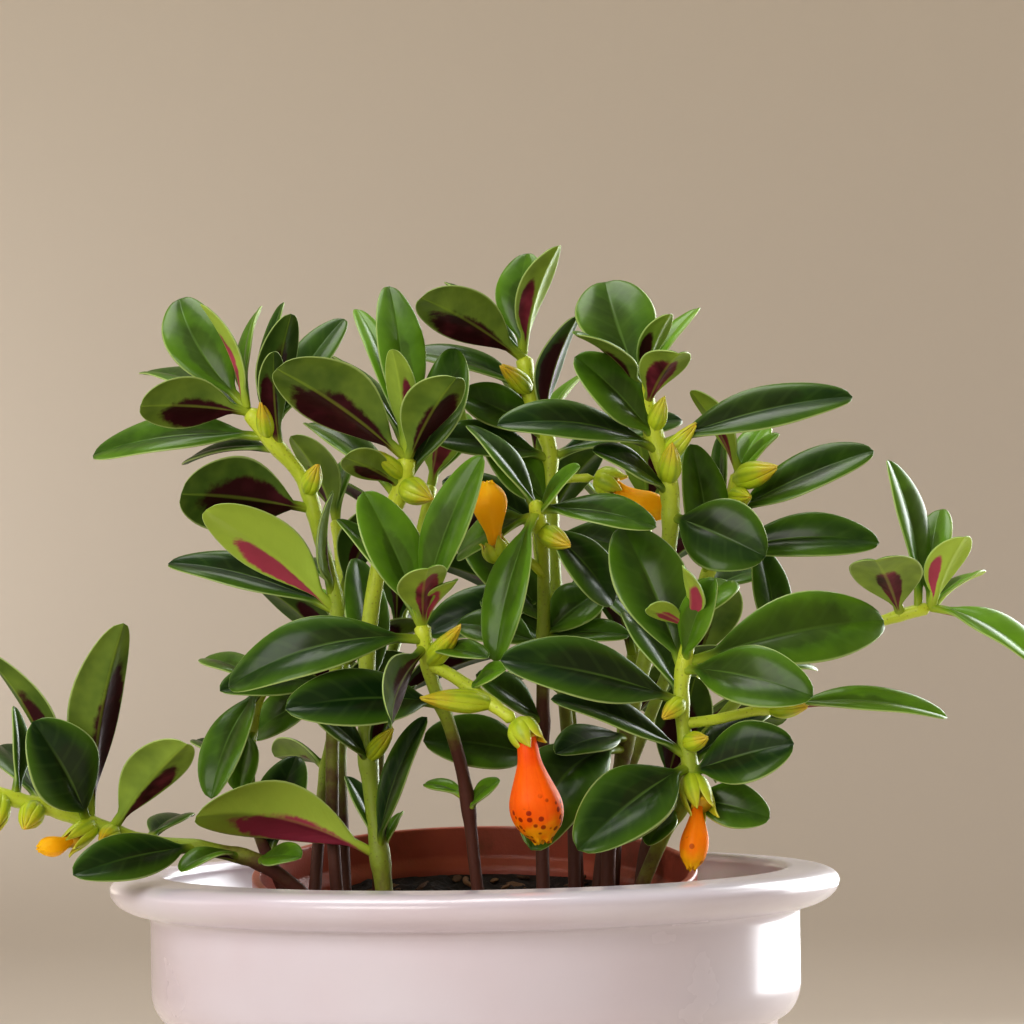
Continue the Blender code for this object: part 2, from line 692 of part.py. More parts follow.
def soil(collection, shoots):
    """The soil: it fills the nursery pot, with a bumpy top and a plain hole for each stem."""
    height, stand = nursery_frame()
    top = height - SOIL_BELOW_RIM
    low = NURSERY_WALL + 0.6 + GAP
    edge_top = nursery_radius(top, height) - NURSERY_WALL - GAP - 0.1
    edge_low = nursery_radius(low, height) - NURSERY_WALL - GAP - 0.1
    rings = [(edge_top * share / SOIL_RINGS, top) for share in range(SOIL_RINGS + 1)]
    body = turned("soil", rings + [(edge_low, low), (0, low)], NURSERY_SIDES, collection)
    for vertex in body.data.vertices:
        x, y, z = vertex.co / MM
        reach = math.hypot(x, y) / edge_top
        if z > top - 0.1 and reach < 0.95:
            bump = math.sin(x * 0.41 + 1.3) * math.cos(y * 0.37) + 0.6 * math.sin(x * 0.83 - y * 0.71)
            vertex.co.z += SOIL_BUMP * bump * MM
    body.data.transform(stand)
    for shoot in shoots:
        surface = POT_HEIGHT + soil_height(shoot.root[1])
        round_stem = (shoot.thick[0] + GAP) / math.cos(math.pi / STEM_HOLE_SIDES)
        cutter = cylinder("stem_cutter", round_stem, shoot.root,
                          surface - ROOT_DEPTH - GAP, surface + 6, STEM_HOLE_SIDES)
        cut(body, cutter)
    dress(body, new_material("potting_soil", (0.035, 0.022, 0.015), 0.95))
    return body


# ---------------------------------------------------------------- stems

class Stem:
    """A smooth stem: its points, its length above the soil and its thickness."""

    def __init__(self, knots, thick, buried=None):
        self.points = smooth_path(knots, STEM_STEP)
        self.buried = buried
        self.thick = thick
        self.lengths = [0.0]
        for start, end in zip(self.points, self.points[1:]):
            self.lengths.append(self.lengths[-1] + (end - start).length)

    def place(self, share):
        """The stem's middle at a share of its length, and the way it grows there."""
        reach = max(0.0, min(1.0, share)) * self.lengths[-1]
        for number, far in enumerate(self.lengths[1:], 1):
            if reach <= far or number == len(self.lengths) - 1:
                start, end = self.points[number - 1], self.points[number]
                part = (reach - self.lengths[number - 1]) / (far - self.lengths[number - 1])
                return start.lerp(end, part), (end - start).normalized()
        return self.points[-1], UP

    def build(self, name, collection):
        below = [self.buried] if self.buried else []
        low, high = self.thick
        total = self.lengths[-1]
        radii = [low] * len(below) + [low + (high - low) * far / total for far in self.lengths]
        radii[-1] *= 0.75
        return tube(name, below + self.points, radii, collection)


def lifted(point):
    """A table's point in the pot's own frame."""
    return Vector(point) + UP * TABLE_ZERO


def main_stem(shoot):
    x, y = shoot.root
    surface = POT_HEIGHT + soil_height(y)
    knots = [Vector((x, y, surface + 1.5))] + [lifted(point) for point in shoot.path]
    return Stem(knots, shoot.thick, Vector((x, y, surface - ROOT_DEPTH)))


def side_stem(twig, parent):
    start, _ = parent.place(twig.at)
    return Stem([start] + [lifted(point) for point in twig.path], (twig.radius, twig.radius * 0.9))


# ---------------------------------------------------------------- leaves

def half_width(share, width):
    """Half of a leaf's width at a share of its length: a petiole, then a blade widest past its middle."""
    petiole = PETIOLE_WIDTH / 2
    if share <= PETIOLE_SHARE:
        return petiole
    along = (share - PETIOLE_SHARE) / (1 - PETIOLE_SHARE)
    blade = width / 2 * max(0.0, math.sin(math.pi * min(1.0, along) ** 1.1)) ** (0.75 - 0.25 * along)
    floor = petiole * (1 - along) + TIP_WIDTH / 2 * along
    return max(floor, blade)


def upper_side(along, growing, face):
    """The way a leaf's upper side looks, square to its length."""
    if face is None:
        natural = growing - along * growing.dot(along)
        if natural.length < 0.2:
            natural = UP - along * UP.dot(along)
        return natural.normalized()
    front = (FRONT - along * FRONT.dot(along)).normalized()
    rising = along.cross(front)
    if rising.z < 0:
        rising.negate()
    angle = math.radians(face)
    return (front * math.cos(angle) + rising * math.sin(angle)).normalized()


class Blade:
    """A leaf in place: a folded and arched surface between its base and its tip."""

    def __init__(self, leaf, base, growing, tip):
        self.leaf = leaf
        self.base = base
        self.length = (tip - base).length
        self.along = (tip - base).normalized()
        self.normal = upper_side(self.along, growing, leaf.face)
        self.across = self.along.cross(self.normal)

    def point(self, share, side, grow=0.0):
        """A point of the blade's middle surface: share runs to the tip, side from edge to edge."""
        half = half_width(share, self.leaf.width) + grow
        rise = self.leaf.arch * self.length * 4 * share * (1 - share) + self.leaf.cup * half * abs(side)
        return (self.base + self.along * (self.length * share + grow * (share > 0.9))
                + self.across * (side * half + self.leaf.bend * self.length * 4 * share * (1 - share))
                + self.normal * rise)

    def stations(self):
        return BLADE_STATIONS if self.length > SHORT_LEAF else SHORT_STATIONS

    def slab(self, first=0):
        """Corners and faces of the blade with its thickness and clearance, from a station on."""
        stations = self.stations()[first:]
        grow = LEAF_CLEARANCE
        lift = self.normal * (BLADE_THICK / 2 + grow)
        rows = [[self.point(share, side, grow) for side in BLADE_SIDES] for share in stations]
        corners = [p + lift for row in rows for p in row] + [p - lift for row in rows for p in row]
        wide, long = len(BLADE_SIDES), len(stations)
        under = wide * long
        faces = []
        for j in range(long - 1):
            for i in range(wide - 1):
                a = j * wide + i
                quad = (a, a + 1, a + 1 + wide, a + wide)
                faces += [quad, tuple(k + under for k in quad)]
            for i in (0, wide - 1):
                a = j * wide + i
                faces.append((a, a + wide, a + wide + under, a + under))
        for j in (0, long - 1):
            for i in range(wide - 1):
                a = j * wide + i
                faces.append((a, a + 1, a + 1 + under, a + under))
        return corners, faces

    def build(self, name, collection):
        """The blade as an open surface thickened to both sides, split alike on both faces."""
        stations = self.stations()
        edit = bmesh.new()
        bmesh.ops.create_grid(edit, x_segments=len(BLADE_SIDES) - 1, y_segments=len(stations) - 1,
                              size=1.0)
        edit.verts.ensure_lookup_table()
        wide = len(BLADE_SIDES)
        for index, vertex in enumerate(edit.verts):
            row, column = divmod(index, wide)
            vertex.co = self.point(stations[row], BLADE_SIDES[column]) * MM
        for end in (edit.verts[:wide], edit.verts[-wide:]):
            bmesh.ops.pointmerge(edit, verts=end, merge_co=end[wide // 2].co.copy())
        bmesh.ops.triangulate(edit, faces=edit.faces, quad_method="FIXED")
        mesh = bpy.data.meshes.new(name)
        edit.to_mesh(mesh)
        edit.free()
        item = new_object(name, mesh, collection)
        solidify = item.modifiers.new("Thickness", "SOLIDIFY")
        solidify.thickness = BLADE_THICK * MM
        solidify.offset = 0.0
        return item


class Obstacle:
    """Something that leaves keep clear of: a surface, its box and the shoot that it belongs to."""

    def __init__(self, owner, corners, faces):
        self.owner = owner
        self.tree = BVHTree.FromPolygons(corners, faces)
        self.low = Vector(min(p[axis] for p in corners) for axis in range(3))
        self.high = Vector(max(p[axis] for p in corners) for axis in range(3))

    def meets(self, other):
        apart = any(self.low[k] > other.high[k] or other.low[k] > self.high[k] for k in range(3))
        return not apart and bool(self.tree.overlap(other.tree))


def obstacle_of(item, owner):
    """An obstacle from an object's mesh, in millimetres."""
    mesh = item.data
    corners = [item.matrix_world @ vertex.co / MM for vertex in mesh.vertices]
    return Obstacle(owner, corners, [tuple(face.vertices) for face in mesh.polygons])


def shifts():
    """Moves of a leaf's tip, from the least to the most noticeable."""
    moves = [(reach * cost, Vector(way) * reach) for reach in SHIFT_REACHES for way, cost in SHIFT_WAYS]
    moves.sort(key=lambda move: move[0])
    return [move for _, move in moves]


def settle(leaf, owner, base, growing, fixed, placed):
    """The blade of a leaf with its tip moved, as little as will do, until it crosses nothing."""
    tip = lifted(leaf.tip)
    for move in shifts():
        blade = Blade(leaf, base, growing, tip + move)
        whole = Obstacle(owner, *blade.slab())
        outer = Obstacle(owner, *blade.slab(OUTER_PART))
        blocked = any(whole.meets(thing) for thing in fixed if thing.owner != owner)
        blocked = blocked or any(outer.meets(thing) for thing in fixed if thing.owner == owner)
        blocked = blocked or any(whole.meets(other) for other, _ in placed if other.owner != owner)
        blocked = blocked or any(outer.meets(other) for _, other in placed if other.owner == owner)
        if not blocked:
            placed.append((whole, outer))
            return blade
    return None


# ---------------------------------------------------------------- buds, calyces and corollas

BUD_SHAPE = ((0.0, 0.35), (0.3, 0.95), (0.65, 0.85), (1.0, 0.0))
CALYX_SHAPE = ((0.0, 0.4), (0.35, 0.95), (1.0, 0.8))
COROLLA_SHAPE = ((0.0, 0.42), (0.2, 0.44), (0.42, 0.72), (0.66, 1.0), (0.84, 0.9), (0.95, 0.55), (1.0, 0.3))
BUD_SIDES = 5
COROLLA_SIDES = 8


def closed(shape):
    """A turned shape's points with both ends taken in to its axis."""
    start = [(0.0, 0.0)] if shape[0][1] > 0 else []
    end = [(1.0, 0.0)] if shape[-1][1] > 0 else []
    return start + list(shape) + end


def bud_object(bud, stem, name, collection):
    base, _ = stem.place(bud.at)
    shape = CALYX_SHAPE if bud.bloom else BUD_SHAPE
    return turned_between(name, closed(shape), BUD_SIDES, base, lifted(bud.tip), bud.width, collection)


def corolla_object(corolla, calyx, calyx_stem, collection):
    """A corolla from its neck, close to the end of its calyx, to its mouth."""
    mouth, seat = lifted(corolla.mouth), lifted(calyx.tip)
    calyx_way = (seat - calyx_stem.place(calyx.at)[0]).normalized()
    way = (mouth - seat).normalized()
    lean = math.sin(way.angle(calyx_way))
    neck = seat + way * (GAP + lean * calyx.width / 4)
    item = turned_between(corolla.name, closed(COROLLA_SHAPE), COROLLA_SIDES, neck, mouth,
                          corolla.width, collection)
    dress(item, new_material(corolla.name, corolla.colour, 0.4))
    return item


# ---------------------------------------------------------------- shoots

def back_leaves(shoot, stem):
    """Crossed pairs of leaves up a stem, with a steeper pair at its top."""
    leaves = []
    for pair in range(shoot.pairs):
        share = shoot.first + (0.985 - shoot.first) * pair / (shoot.pairs - 1)
        base, growing = stem.place(share)
        spread = math.radians(BACK_TOP_SPREAD if pair == shoot.pairs - 1 else BACK_SPREAD)
        length = shoot.length * (0.8 if pair == shoot.pairs - 1 else 1.0)
        across = growing.cross(Vector((1, 0, 0))).normalized()
        around = Matrix.Rotation(math.radians(shoot.turn + 90 * pair), 3, growing)
        for side in (1, -1):
            out = around @ across * side
            tip = base + (growing * math.cos(spread) + out * math.sin(spread)) * length
            leaves.append(Leaf(share, tuple(tip - UP * TABLE_ZERO), shoot.width, None, 0.1))
    return leaves


def all_shoots():
    """The shoots with their leaves listed, front ones first."""
    shoots = list(SHOOTS)
    for back in BACK_SHOOTS:
        shoot = Shoot(back.name, back.root, back.path, BACK_STEM_THICK, [])
        shoot.leaves = back_leaves(back, main_stem(shoot))
        shoots.append(shoot)
    return shoots


class Growing:
    """A shoot while it is made: its stems, and the buds and leaves that join them."""

    def __init__(self, shoot, collection):
        self.shoot = shoot
        self.collection = collection
        self.stems = [main_stem(shoot)]
        self.bearers = [(self.stems[0], shoot.leaves, shoot.buds)]
        for twig in shoot.twigs:
            stem = side_stem(twig, self.stems[0])
            self.stems.append(stem)
            self.bearers.append((stem, twig.leaves, twig.buds))
        self.objects = [stem.build(f"{shoot.name}_stem_{number}", collection)
                        for number, stem in enumerate(self.stems)]
        for stem, _, buds in self.bearers:
            for bud in buds:
                self.objects.append(bud_object(bud, stem, f"{shoot.name}_bud", collection))

    def obstacles(self):
        return [obstacle_of(item, self.shoot.name) for item in self.objects]

    def add_leaves(self, fixed, placed):
        for stem, leaves, _ in self.bearers:
            for number, leaf in enumerate(leaves):
                base, growing = stem.place(leaf.at)
                blade = settle(leaf, self.shoot.name, base, growing, fixed, placed)
                if blade is None:
                    print("no room for leaf", number, "of", self.shoot.name)
                    continue
                self.objects.append(blade.build(f"{self.shoot.name}_leaf", self.collection))

    def join(self, target, material):
        """One solid of the stems, buds and leaves, in an object with the shoot's name."""
        trunk, others = self.objects[0], self.objects[1:]
        self.collection.objects.unlink(trunk)
        target.objects.link(trunk)
        combine(trunk, "UNION", pieces=self.collection)
        drop_scraps(trunk.data)
        for item in others:
            bpy.data.objects.remove(item)
        bpy.data.collections.remove(self.collection)
        trunk.name = self.shoot.name
        trunk.data.name = self.shoot.name
        dress(trunk, material)


# ---------------------------------------------------------------- the plant in its pots

clear_scene()
PLANT = new_collection("goldfish_plant")
CUTTERS = new_collection("cutters")
PARTS = new_collection("parts_to_join")


def build():
    shoots = all_shoots()
    pots = [outer_pot(PLANT), nursery_pot(PLANT), soil(PLANT, shoots)]
    growing = []
    for shoot in shoots:
        pieces = bpy.data.collections.new(shoot.name + "_pieces")
        PARTS.children.link(pieces)
        growing.append(Growing(shoot, pieces))
    calyces = {bud.bloom: (bud, stem) for one in growing for stem, _, buds in one.bearers
               for bud in buds}
    corollas = [corolla_object(corolla, *calyces[corolla.name], PLANT) for corolla in COROLLAS]
    fixed = [obstacle_of(item, item.name) for item in pots + corollas]
    for one in growing:
        fixed += one.obstacles()
    placed = []
    for one in growing:
        one.add_leaves(fixed, placed)
    for one in growing:
        green = (0.055, 0.17, 0.025)
        one.join(PLANT, new_material(one.shoot.name, green, 0.3))


build()
for spare in (CUTTERS, PARTS):
    bpy.data.collections.remove(spare)
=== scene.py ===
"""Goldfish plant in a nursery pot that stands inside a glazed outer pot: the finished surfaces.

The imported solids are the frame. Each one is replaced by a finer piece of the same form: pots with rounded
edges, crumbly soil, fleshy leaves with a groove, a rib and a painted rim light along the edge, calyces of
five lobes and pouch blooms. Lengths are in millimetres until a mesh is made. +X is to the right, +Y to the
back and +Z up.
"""

from __future__ import annotations

import logging
import math
from dataclasses import dataclass, field
from enum import Enum
from random import Random
from typing import Iterable, Sequence, Union

import bmesh
import bpy
import numpy as np
from mathutils import Matrix, Vector, noise


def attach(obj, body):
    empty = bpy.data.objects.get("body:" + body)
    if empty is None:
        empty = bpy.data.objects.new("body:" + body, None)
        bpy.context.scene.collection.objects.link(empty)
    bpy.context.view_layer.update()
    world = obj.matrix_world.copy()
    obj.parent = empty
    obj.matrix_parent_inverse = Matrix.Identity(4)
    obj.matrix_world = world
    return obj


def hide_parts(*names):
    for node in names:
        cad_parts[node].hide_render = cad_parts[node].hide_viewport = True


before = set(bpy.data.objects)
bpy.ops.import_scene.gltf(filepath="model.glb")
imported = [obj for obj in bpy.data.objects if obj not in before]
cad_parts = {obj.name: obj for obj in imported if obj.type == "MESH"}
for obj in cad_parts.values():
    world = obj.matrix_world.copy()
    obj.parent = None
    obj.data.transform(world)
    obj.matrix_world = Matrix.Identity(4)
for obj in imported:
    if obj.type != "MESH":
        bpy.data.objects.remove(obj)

LOG = logging.getLogger("goldfish_plant")

Colour = tuple[float, float, float]
Point = tuple[float, float, float]
Profile = list[tuple[float, float]]
Outline = tuple[tuple[float, float], ...]

MM = 0.001
MERGE = 1e-6                  # metres, closes the seams of turned shapes
TINY = 1e-6
SHORT = 0.1                   # the part of one direction across another that is too short to turn by
UP = Vector((0.0, 0.0, 1.0))
FRONT = Vector((0.0, -1.0, 0.0))
RIGHT = Vector((1.0, 0.0, 0.0))
ODD_WAY = (0.31, 0.82, 0.48)  # no stem starts along it
ROOT = "root"


def srgb(red: int, green: int, blue: int) -> Colour:
    """A colour given as screen values from 0 to 255, in the linear values that shaders take.

    Args:
        red: Red, 0 to 255.
        green: Green, 0 to 255.
        blue: Blue, 0 to 255.

    Returns:
        The linear colour.
    """
    shares = (channel / 255 for channel in (red, green, blue))
    return tuple(c / 12.92 if c <= 0.04045 else ((c + 0.055) / 1.055) ** 2.4 for c in shares)


# ---------------------------------------------------------------- shader maths

Settings = dict[str, object]
Sockets = dict[Union[str, int], object]

MIX_SHARE, MIX_FIRST, MIX_SECOND, MIX_RESULT = 0, 6, 7, 2     # a colour Mix node's sockets, by number


class Value:
    """An output socket that Python's operators work on; each operation adds a Math node."""

    def __init__(self, shader: Shader, socket: bpy.types.NodeSocket) -> None:
        """Wrap a socket of a shader.

        Args:
            shader: The shader that new nodes go into.
            socket: The output socket.
        """
        self.shader = shader
        self.socket = socket

    def _math(self, operation: str, first: object, second: object) -> Value:
        """Add a Math node.

        Args:
            operation: The node's operation.
            first: The first operand, a value or a number.
            second: The second operand, a value or a number.

        Returns:
            The result.
        """
        return self.shader.value("ShaderNodeMath", {"operation": operation}, {0: first, 1: second})

    def __add__(self, other: object) -> Value:
        """self + other."""
        return self._math("ADD", self, other)

    def __radd__(self, other: object) -> Value:
        """other + self."""
        return self._math("ADD", other, self)

    def __sub__(self, other: object) -> Value:
        """self - other."""
        return self._math("SUBTRACT", self, other)

    def __rsub__(self, other: object) -> Value:
        """other - self."""
        return self._math("SUBTRACT", other, self)

    def __mul__(self, other: object) -> Value:
        """self * other."""
        return self._math("MULTIPLY", self, other)

    def __rmul__(self, other: object) -> Value:
        """other * self."""
        return self._math("MULTIPLY", other, self)

    def __truediv__(self, other: object) -> Value:
        """self / other."""
        return self._math("DIVIDE", self, other)

    def __pow__(self, other: object) -> Value:
        """self to the power of other."""
        return self._math("POWER", self, other)

    def __abs__(self) -> Value:
        """Size of self without its sign."""
        return self._math("ABSOLUTE", self, 0.0)

    def above(self, low: float, high: float) -> Value:
        """A soft step: 0 where self is at or under low, 1 where it is at or over high."""
        return self.shader.value("ShaderNodeMapRange", {"interpolation_type": "SMOOTHSTEP"},
                                 {"Value": self, "From Min": low, "From Max": high})

    def below(self, low: float, high: float) -> Value:
        """A soft step down: 1 where self is at or under low, 0 where it is at or over high."""
        return 1.0 - self.above(low, high)


class Shader:
    """A material's node tree, with one Principled BSDF."""

    def __init__(self, name: str, **constants: object) -> None:
        """Make the material.

        Args:
            name: The material's name.
            constants: Values of the Principled BSDF's sockets, with _ for each space in a socket's name.
        """
        self.material = bpy.data.materials.new(name)
        self.material.use_nodes = True
        self.tree = self.material.node_tree
        self.principled = self.tree.nodes["Principled BSDF"]
        for socket, constant in constants.items():
            self.principled.inputs[socket.replace("_", " ")].default_value = constant

    def node(self, kind: str, settings: Settings, sockets: Sockets) -> bpy.types.Node:
        """Add a node.

        Args:
            kind: The node's type.
            settings: Its properties, set first; "stops" gives a colour ramp's (position, colour) pairs.
            sockets: Values or links of its input sockets, by name or number.

        Returns:
            The node.
        """
        made = self.tree.nodes.new(kind)
        for name, setting in settings.items():
            if name == "stops":
                self._set_stops(made.color_ramp, setting)
            else:
                setattr(made, name, setting)
        for name, given in sockets.items():
            socket = made.inputs[name]
            if isinstance(given, Value):
                self.tree.links.new(given.socket, socket)
            elif socket.type == "RGBA" and len(given) == 3:
                socket.default_value = (*given, 1.0)
            else:
                socket.default_value = given
        return made

    @staticmethod
    def _set_stops(ramp: bpy.types.ColorRamp, stops: Sequence[tuple[float, Colour]]) -> None:
        """Give a colour ramp its stops.

        Args:
            ramp: The ramp.
            stops: (position, colour) pairs in order.
        """
        while len(ramp.elements) < len(stops):
            ramp.elements.new(1.0)
        for element, (position, colour) in zip(ramp.elements, stops):
            element.position = position
            element.color = (*colour, 1.0)

    def value(self, kind: str, settings: Settings, sockets: Sockets, output: Union[str, int] = 0) -> Value:
        """Add a node and take one of its outputs.

        Args:
            kind: The node's type.
            settings: Its properties.
            sockets: Values or links of its input sockets.
            output: The name or number of the output.

        Returns:
            The output.
        """
        return Value(self, self.node(kind, settings, sockets).outputs[output])

    def trait(self, trait: Trait) -> Value:
        """A number that the mesh carries at each of its points."""
        return self.value("ShaderNodeAttribute", {"attribute_name": trait.value}, {}, "Fac")

    def place(self) -> Value:
        """The point's place on the object, in metres."""
        return self.value("ShaderNodeTexCoord", {}, {}, "Object")

    def height(self) -> Value:
        """The point's height above the floor, in metres."""
        return self.value("ShaderNodeSeparateXYZ", {}, {0: self.place()}, "Z")

    def noise(self, per_metre: float, detail: float = 2.0, roughness: float = 0.5) -> Value:
        """Cloudy noise about 0.5.

        Args:
            per_metre: Its scale, in blotches to the metre.
            detail: Octaves.
            roughness: Strength of the finer octaves.

        Returns:
            The noise.
        """
        return self.value("ShaderNodeTexNoise", {}, {"Vector": self.place(), "Scale": per_metre,
                                                     "Detail": detail, "Roughness": roughness})

    def speckles(self, per_metre: float) -> Value:
        """Distance to the nearest of many scattered points, from 0 at a point."""
        return self.value("ShaderNodeTexVoronoi", {}, {"Vector": self.place(), "Scale": per_metre},
                          "Distance")

    def blend(self, first: object, second: object, share: object) -> Value:
        """A colour between two.

        Args:
            first: The colour where share is 0.
            second: The colour where share is 1.
            share: The share of the second colour.

        Returns:
            The blended colour.
        """
        return self.value("ShaderNodeMix", {"data_type": "RGBA", "clamp_factor": True},
                          {MIX_SHARE: share, MIX_FIRST: first, MIX_SECOND: second}, MIX_RESULT)

    def paint(self, socket: str, value: Value) -> None:
        """Feed a value into a socket of the Principled BSDF."""
        self.tree.links.new(value.socket, self.principled.inputs[socket])

    def dress(self, colour: Value, roughness: Value, height: Value, depth: float) -> bpy.types.Material:
        """Give the surface its colour, its roughness and a fine relief.

        Args:
            colour: The base colour.
            roughness: The roughness.
            height: The relief's height, about 0 to 1.
            depth: The depth in metres that one unit of height stands for.

        Returns:
            The material.
        """
        self.paint("Base Color", colour)
        self.paint("Roughness", roughness)
        self.paint("Normal", self.value("ShaderNodeBump", {}, {"Height": height, "Distance": depth,
                                                               "Strength": 1.0}))
        return self.material


# ---------------------------------------------------------------- finishes

class Trait(Enum):
    """Numbers that a mesh carries at each point, for its finish to read."""

    ACROSS = "across"         # -1 to 1 from one edge of a leaf or lobe to the other
    ALONG = "along"           # 0 at the base, 1 at the tip
    UNDER = "under"           # 0 on the upper face, 1 on the under face
    SEED = "seed"             # 0 to 1, one number for each leaf, bud or bloom
    BLUSH = "blush"           # strength of the red or orange flush
    YOUTH = "youth"           # 0 for old tissue, 1 for the newest


@dataclass(frozen=True)
class LeafFinish:
    """Fleshy satin leaves: lighter below, with a ragged maroon patch that shows through a little above;
    their edges get a painted glow and a painted rim light.
    """

    old_green: Colour = srgb(28, 54, 20)
    young_green: Colour = srgb(116, 164, 36)
    rib: Colour = srgb(108, 142, 66)
    below_old: Colour = srgb(56, 84, 33)
    below_young: Colour = srgb(182, 210, 88)
    maroon: Colour = srgb(58, 20, 26)
    crimson: Colour = srgb(182, 80, 102)
    shown_through: Colour = srgb(40, 38, 20)
    # painted rim light: a pale line along the leaf edge, standing in for light through and around it
    painted_rim_light: Colour = srgb(190, 212, 138)
    stalk: Colour = srgb(160, 180, 56)
    relief: float = 0.1 * MM

    def make(self) -> bpy.types.Material:
        """Build the material."""
        shader = Shader("leaf", Coat_Roughness=0.2, IOR=1.45, Specular_IOR_Level=0.12)
        across = abs(shader.trait(Trait.ACROSS))
        along = shader.trait(Trait.ALONG)
        under = shader.trait(Trait.UNDER).above(0.35, 0.65)
        cloud = shader.noise(160.0)
        youth = (shader.trait(Trait.YOUTH) + (cloud - 0.5) * 0.4).above(0.0, 1.0)
        patch = self.patch(shader, along)
        upper = shader.blend(self.old_green, self.young_green, youth)
        upper = shader.blend(upper, self.shown_through, patch * 0.35)
        # painted glow: the upper face turns lighter green towards the edges, standing in for light through
        # the thin edges
        upper = shader.blend(upper, self.young_green, across.above(0.4, 1.0) * 0.3)
        upper = shader.blend(upper, self.rib, across.below(0.02, 0.08) * along.below(0.3, 1.0) * 0.5)
        veins = self.veins(shader, across, along)
        upper = shader.blend(upper, self.rib, veins * 0.06)
        lower = shader.blend(self.below_old, self.below_young, youth)
        flush = shader.blend(self.maroon, self.crimson, youth.above(0.3, 0.95) + (cloud - 0.5) * 0.3)
        lower = shader.blend(lower, flush, patch)
        lower = shader.blend(lower, self.below_young, across.below(0.01, 0.05) * 0.25)
        colour = shader.blend(upper, lower, under)
        colour = shader.blend(colour, self.stalk, along.below(0.04, 0.17) * 0.8)
        # painted rim light along the very edge of each leaf
        colour = shader.blend(colour, self.painted_rim_light, across.above(0.93, 0.985) * along.above(0.1, 0.25) * 0.7)
        shader.paint("Coat Weight", 0.38 - under * 0.26)
        return shader.dress(colour, 0.36 + under * 0.1 + cloud * 0.12,
                            veins * 0.12 + shader.noise(700.0) * 0.5, self.relief)

    @staticmethod
    def patch(shader: Shader, along: Value) -> Value:
        """The ragged patch of the under face: it runs up from the base, a little to one side of the rib.

        Args:
            shader: The leaf's shader.
            along: Distance from the base, 0 to 1.

        Returns:
            1 inside the patch, 0 outside it.
        """
        blush = shader.trait(Trait.BLUSH)
        aside = shader.trait(Trait.ACROSS) + (shader.trait(Trait.SEED) - 0.5) * 0.9
        aside = aside / (0.12 + blush * 0.62)
        up = (along - 0.38) / (0.2 + blush * 0.24)
        ragged = shader.noise(330.0, 3.0, 0.6) - 0.5
        return (aside ** 2.0 + up ** 2.0 + ragged * 1.05).below(0.72, 1.2)

    @staticmethod
    def veins(shader: Shader, across: Value, along: Value) -> Value:
        """Faint side veins that run forward from the rib to the edges.

        Args:
            shader: The leaf's shader.
            across: Distance from the rib, 0 to 1.
            along: Distance from the base, 0 to 1.

        Returns:
            0 between the veins, 1 on them.
        """
        run = (along - across * 0.2) * 44.0
        wave = shader.value("ShaderNodeMath", {"operation": "SINE"}, {0: run})
        return wave.above(0.55, 1.0) * across.above(0.03, 0.15) * across.below(0.75, 0.95)


@dataclass(frozen=True)
class StemFinish:
    """Fleshy yellow-green shoots that turn brown and corky towards the soil."""

    young: Colour = srgb(198, 214, 64)
    grown: Colour = srgb(144, 166, 52)
    corky: Colour = srgb(92, 54, 42)
    relief: float = 0.22 * MM

    def make(self) -> bpy.types.Material:
        """Build the material."""
        shader = Shader("stem")
        cloud = shader.noise(260.0, 4.0, 0.6)
        youth = shader.trait(Trait.YOUTH) + (cloud - 0.5) * 0.35
        green = shader.blend(self.grown, self.young, youth.above(0.45, 1.0))
        colour = shader.blend(self.corky, green, youth.above(0.08, 0.42))
        colour = shader.blend(colour, self.corky, shader.speckles(900.0).below(0.1, 0.25) * 0.35)
        return shader.dress(colour, 0.34 + youth.below(0.1, 0.6) * 0.3,
                            shader.noise(1200.0, 4.0, 0.65) * 0.7 + cloud * 0.3, self.relief)


@dataclass(frozen=True)
class CalyxFinish:
    """Pointed yellow-green lobes of buds and calyces, with an orange flush towards their tips."""

    green: Colour = srgb(186, 206, 48)
    shade: Colour = srgb(126, 160, 40)
    flush: Colour = srgb(232, 150, 36)
    pale: Colour = srgb(222, 222, 120)
    relief: float = 0.1 * MM

    def make(self) -> bpy.types.Material:
        """Build the material."""
        shader = Shader("calyx")
        along = shader.trait(Trait.ALONG)
        across = abs(shader.trait(Trait.ACROSS))
        cloud = shader.noise(500.0, 3.0)
        colour = shader.blend(self.green, self.shade, across.below(0.0, 0.35) * 0.55 + (cloud - 0.5) * 0.6)
        reach = (along + (cloud - 0.5) * 0.5).above(0.45, 1.0)
        colour = shader.blend(colour, self.flush, reach * shader.trait(Trait.BLUSH) * 0.6)
        colour = shader.blend(colour, self.pale, across.above(0.8, 0.98) * 0.6)
        return shader.dress(colour, 0.3 + cloud * 0.2, shader.noise(1600.0, 3.0), self.relief)


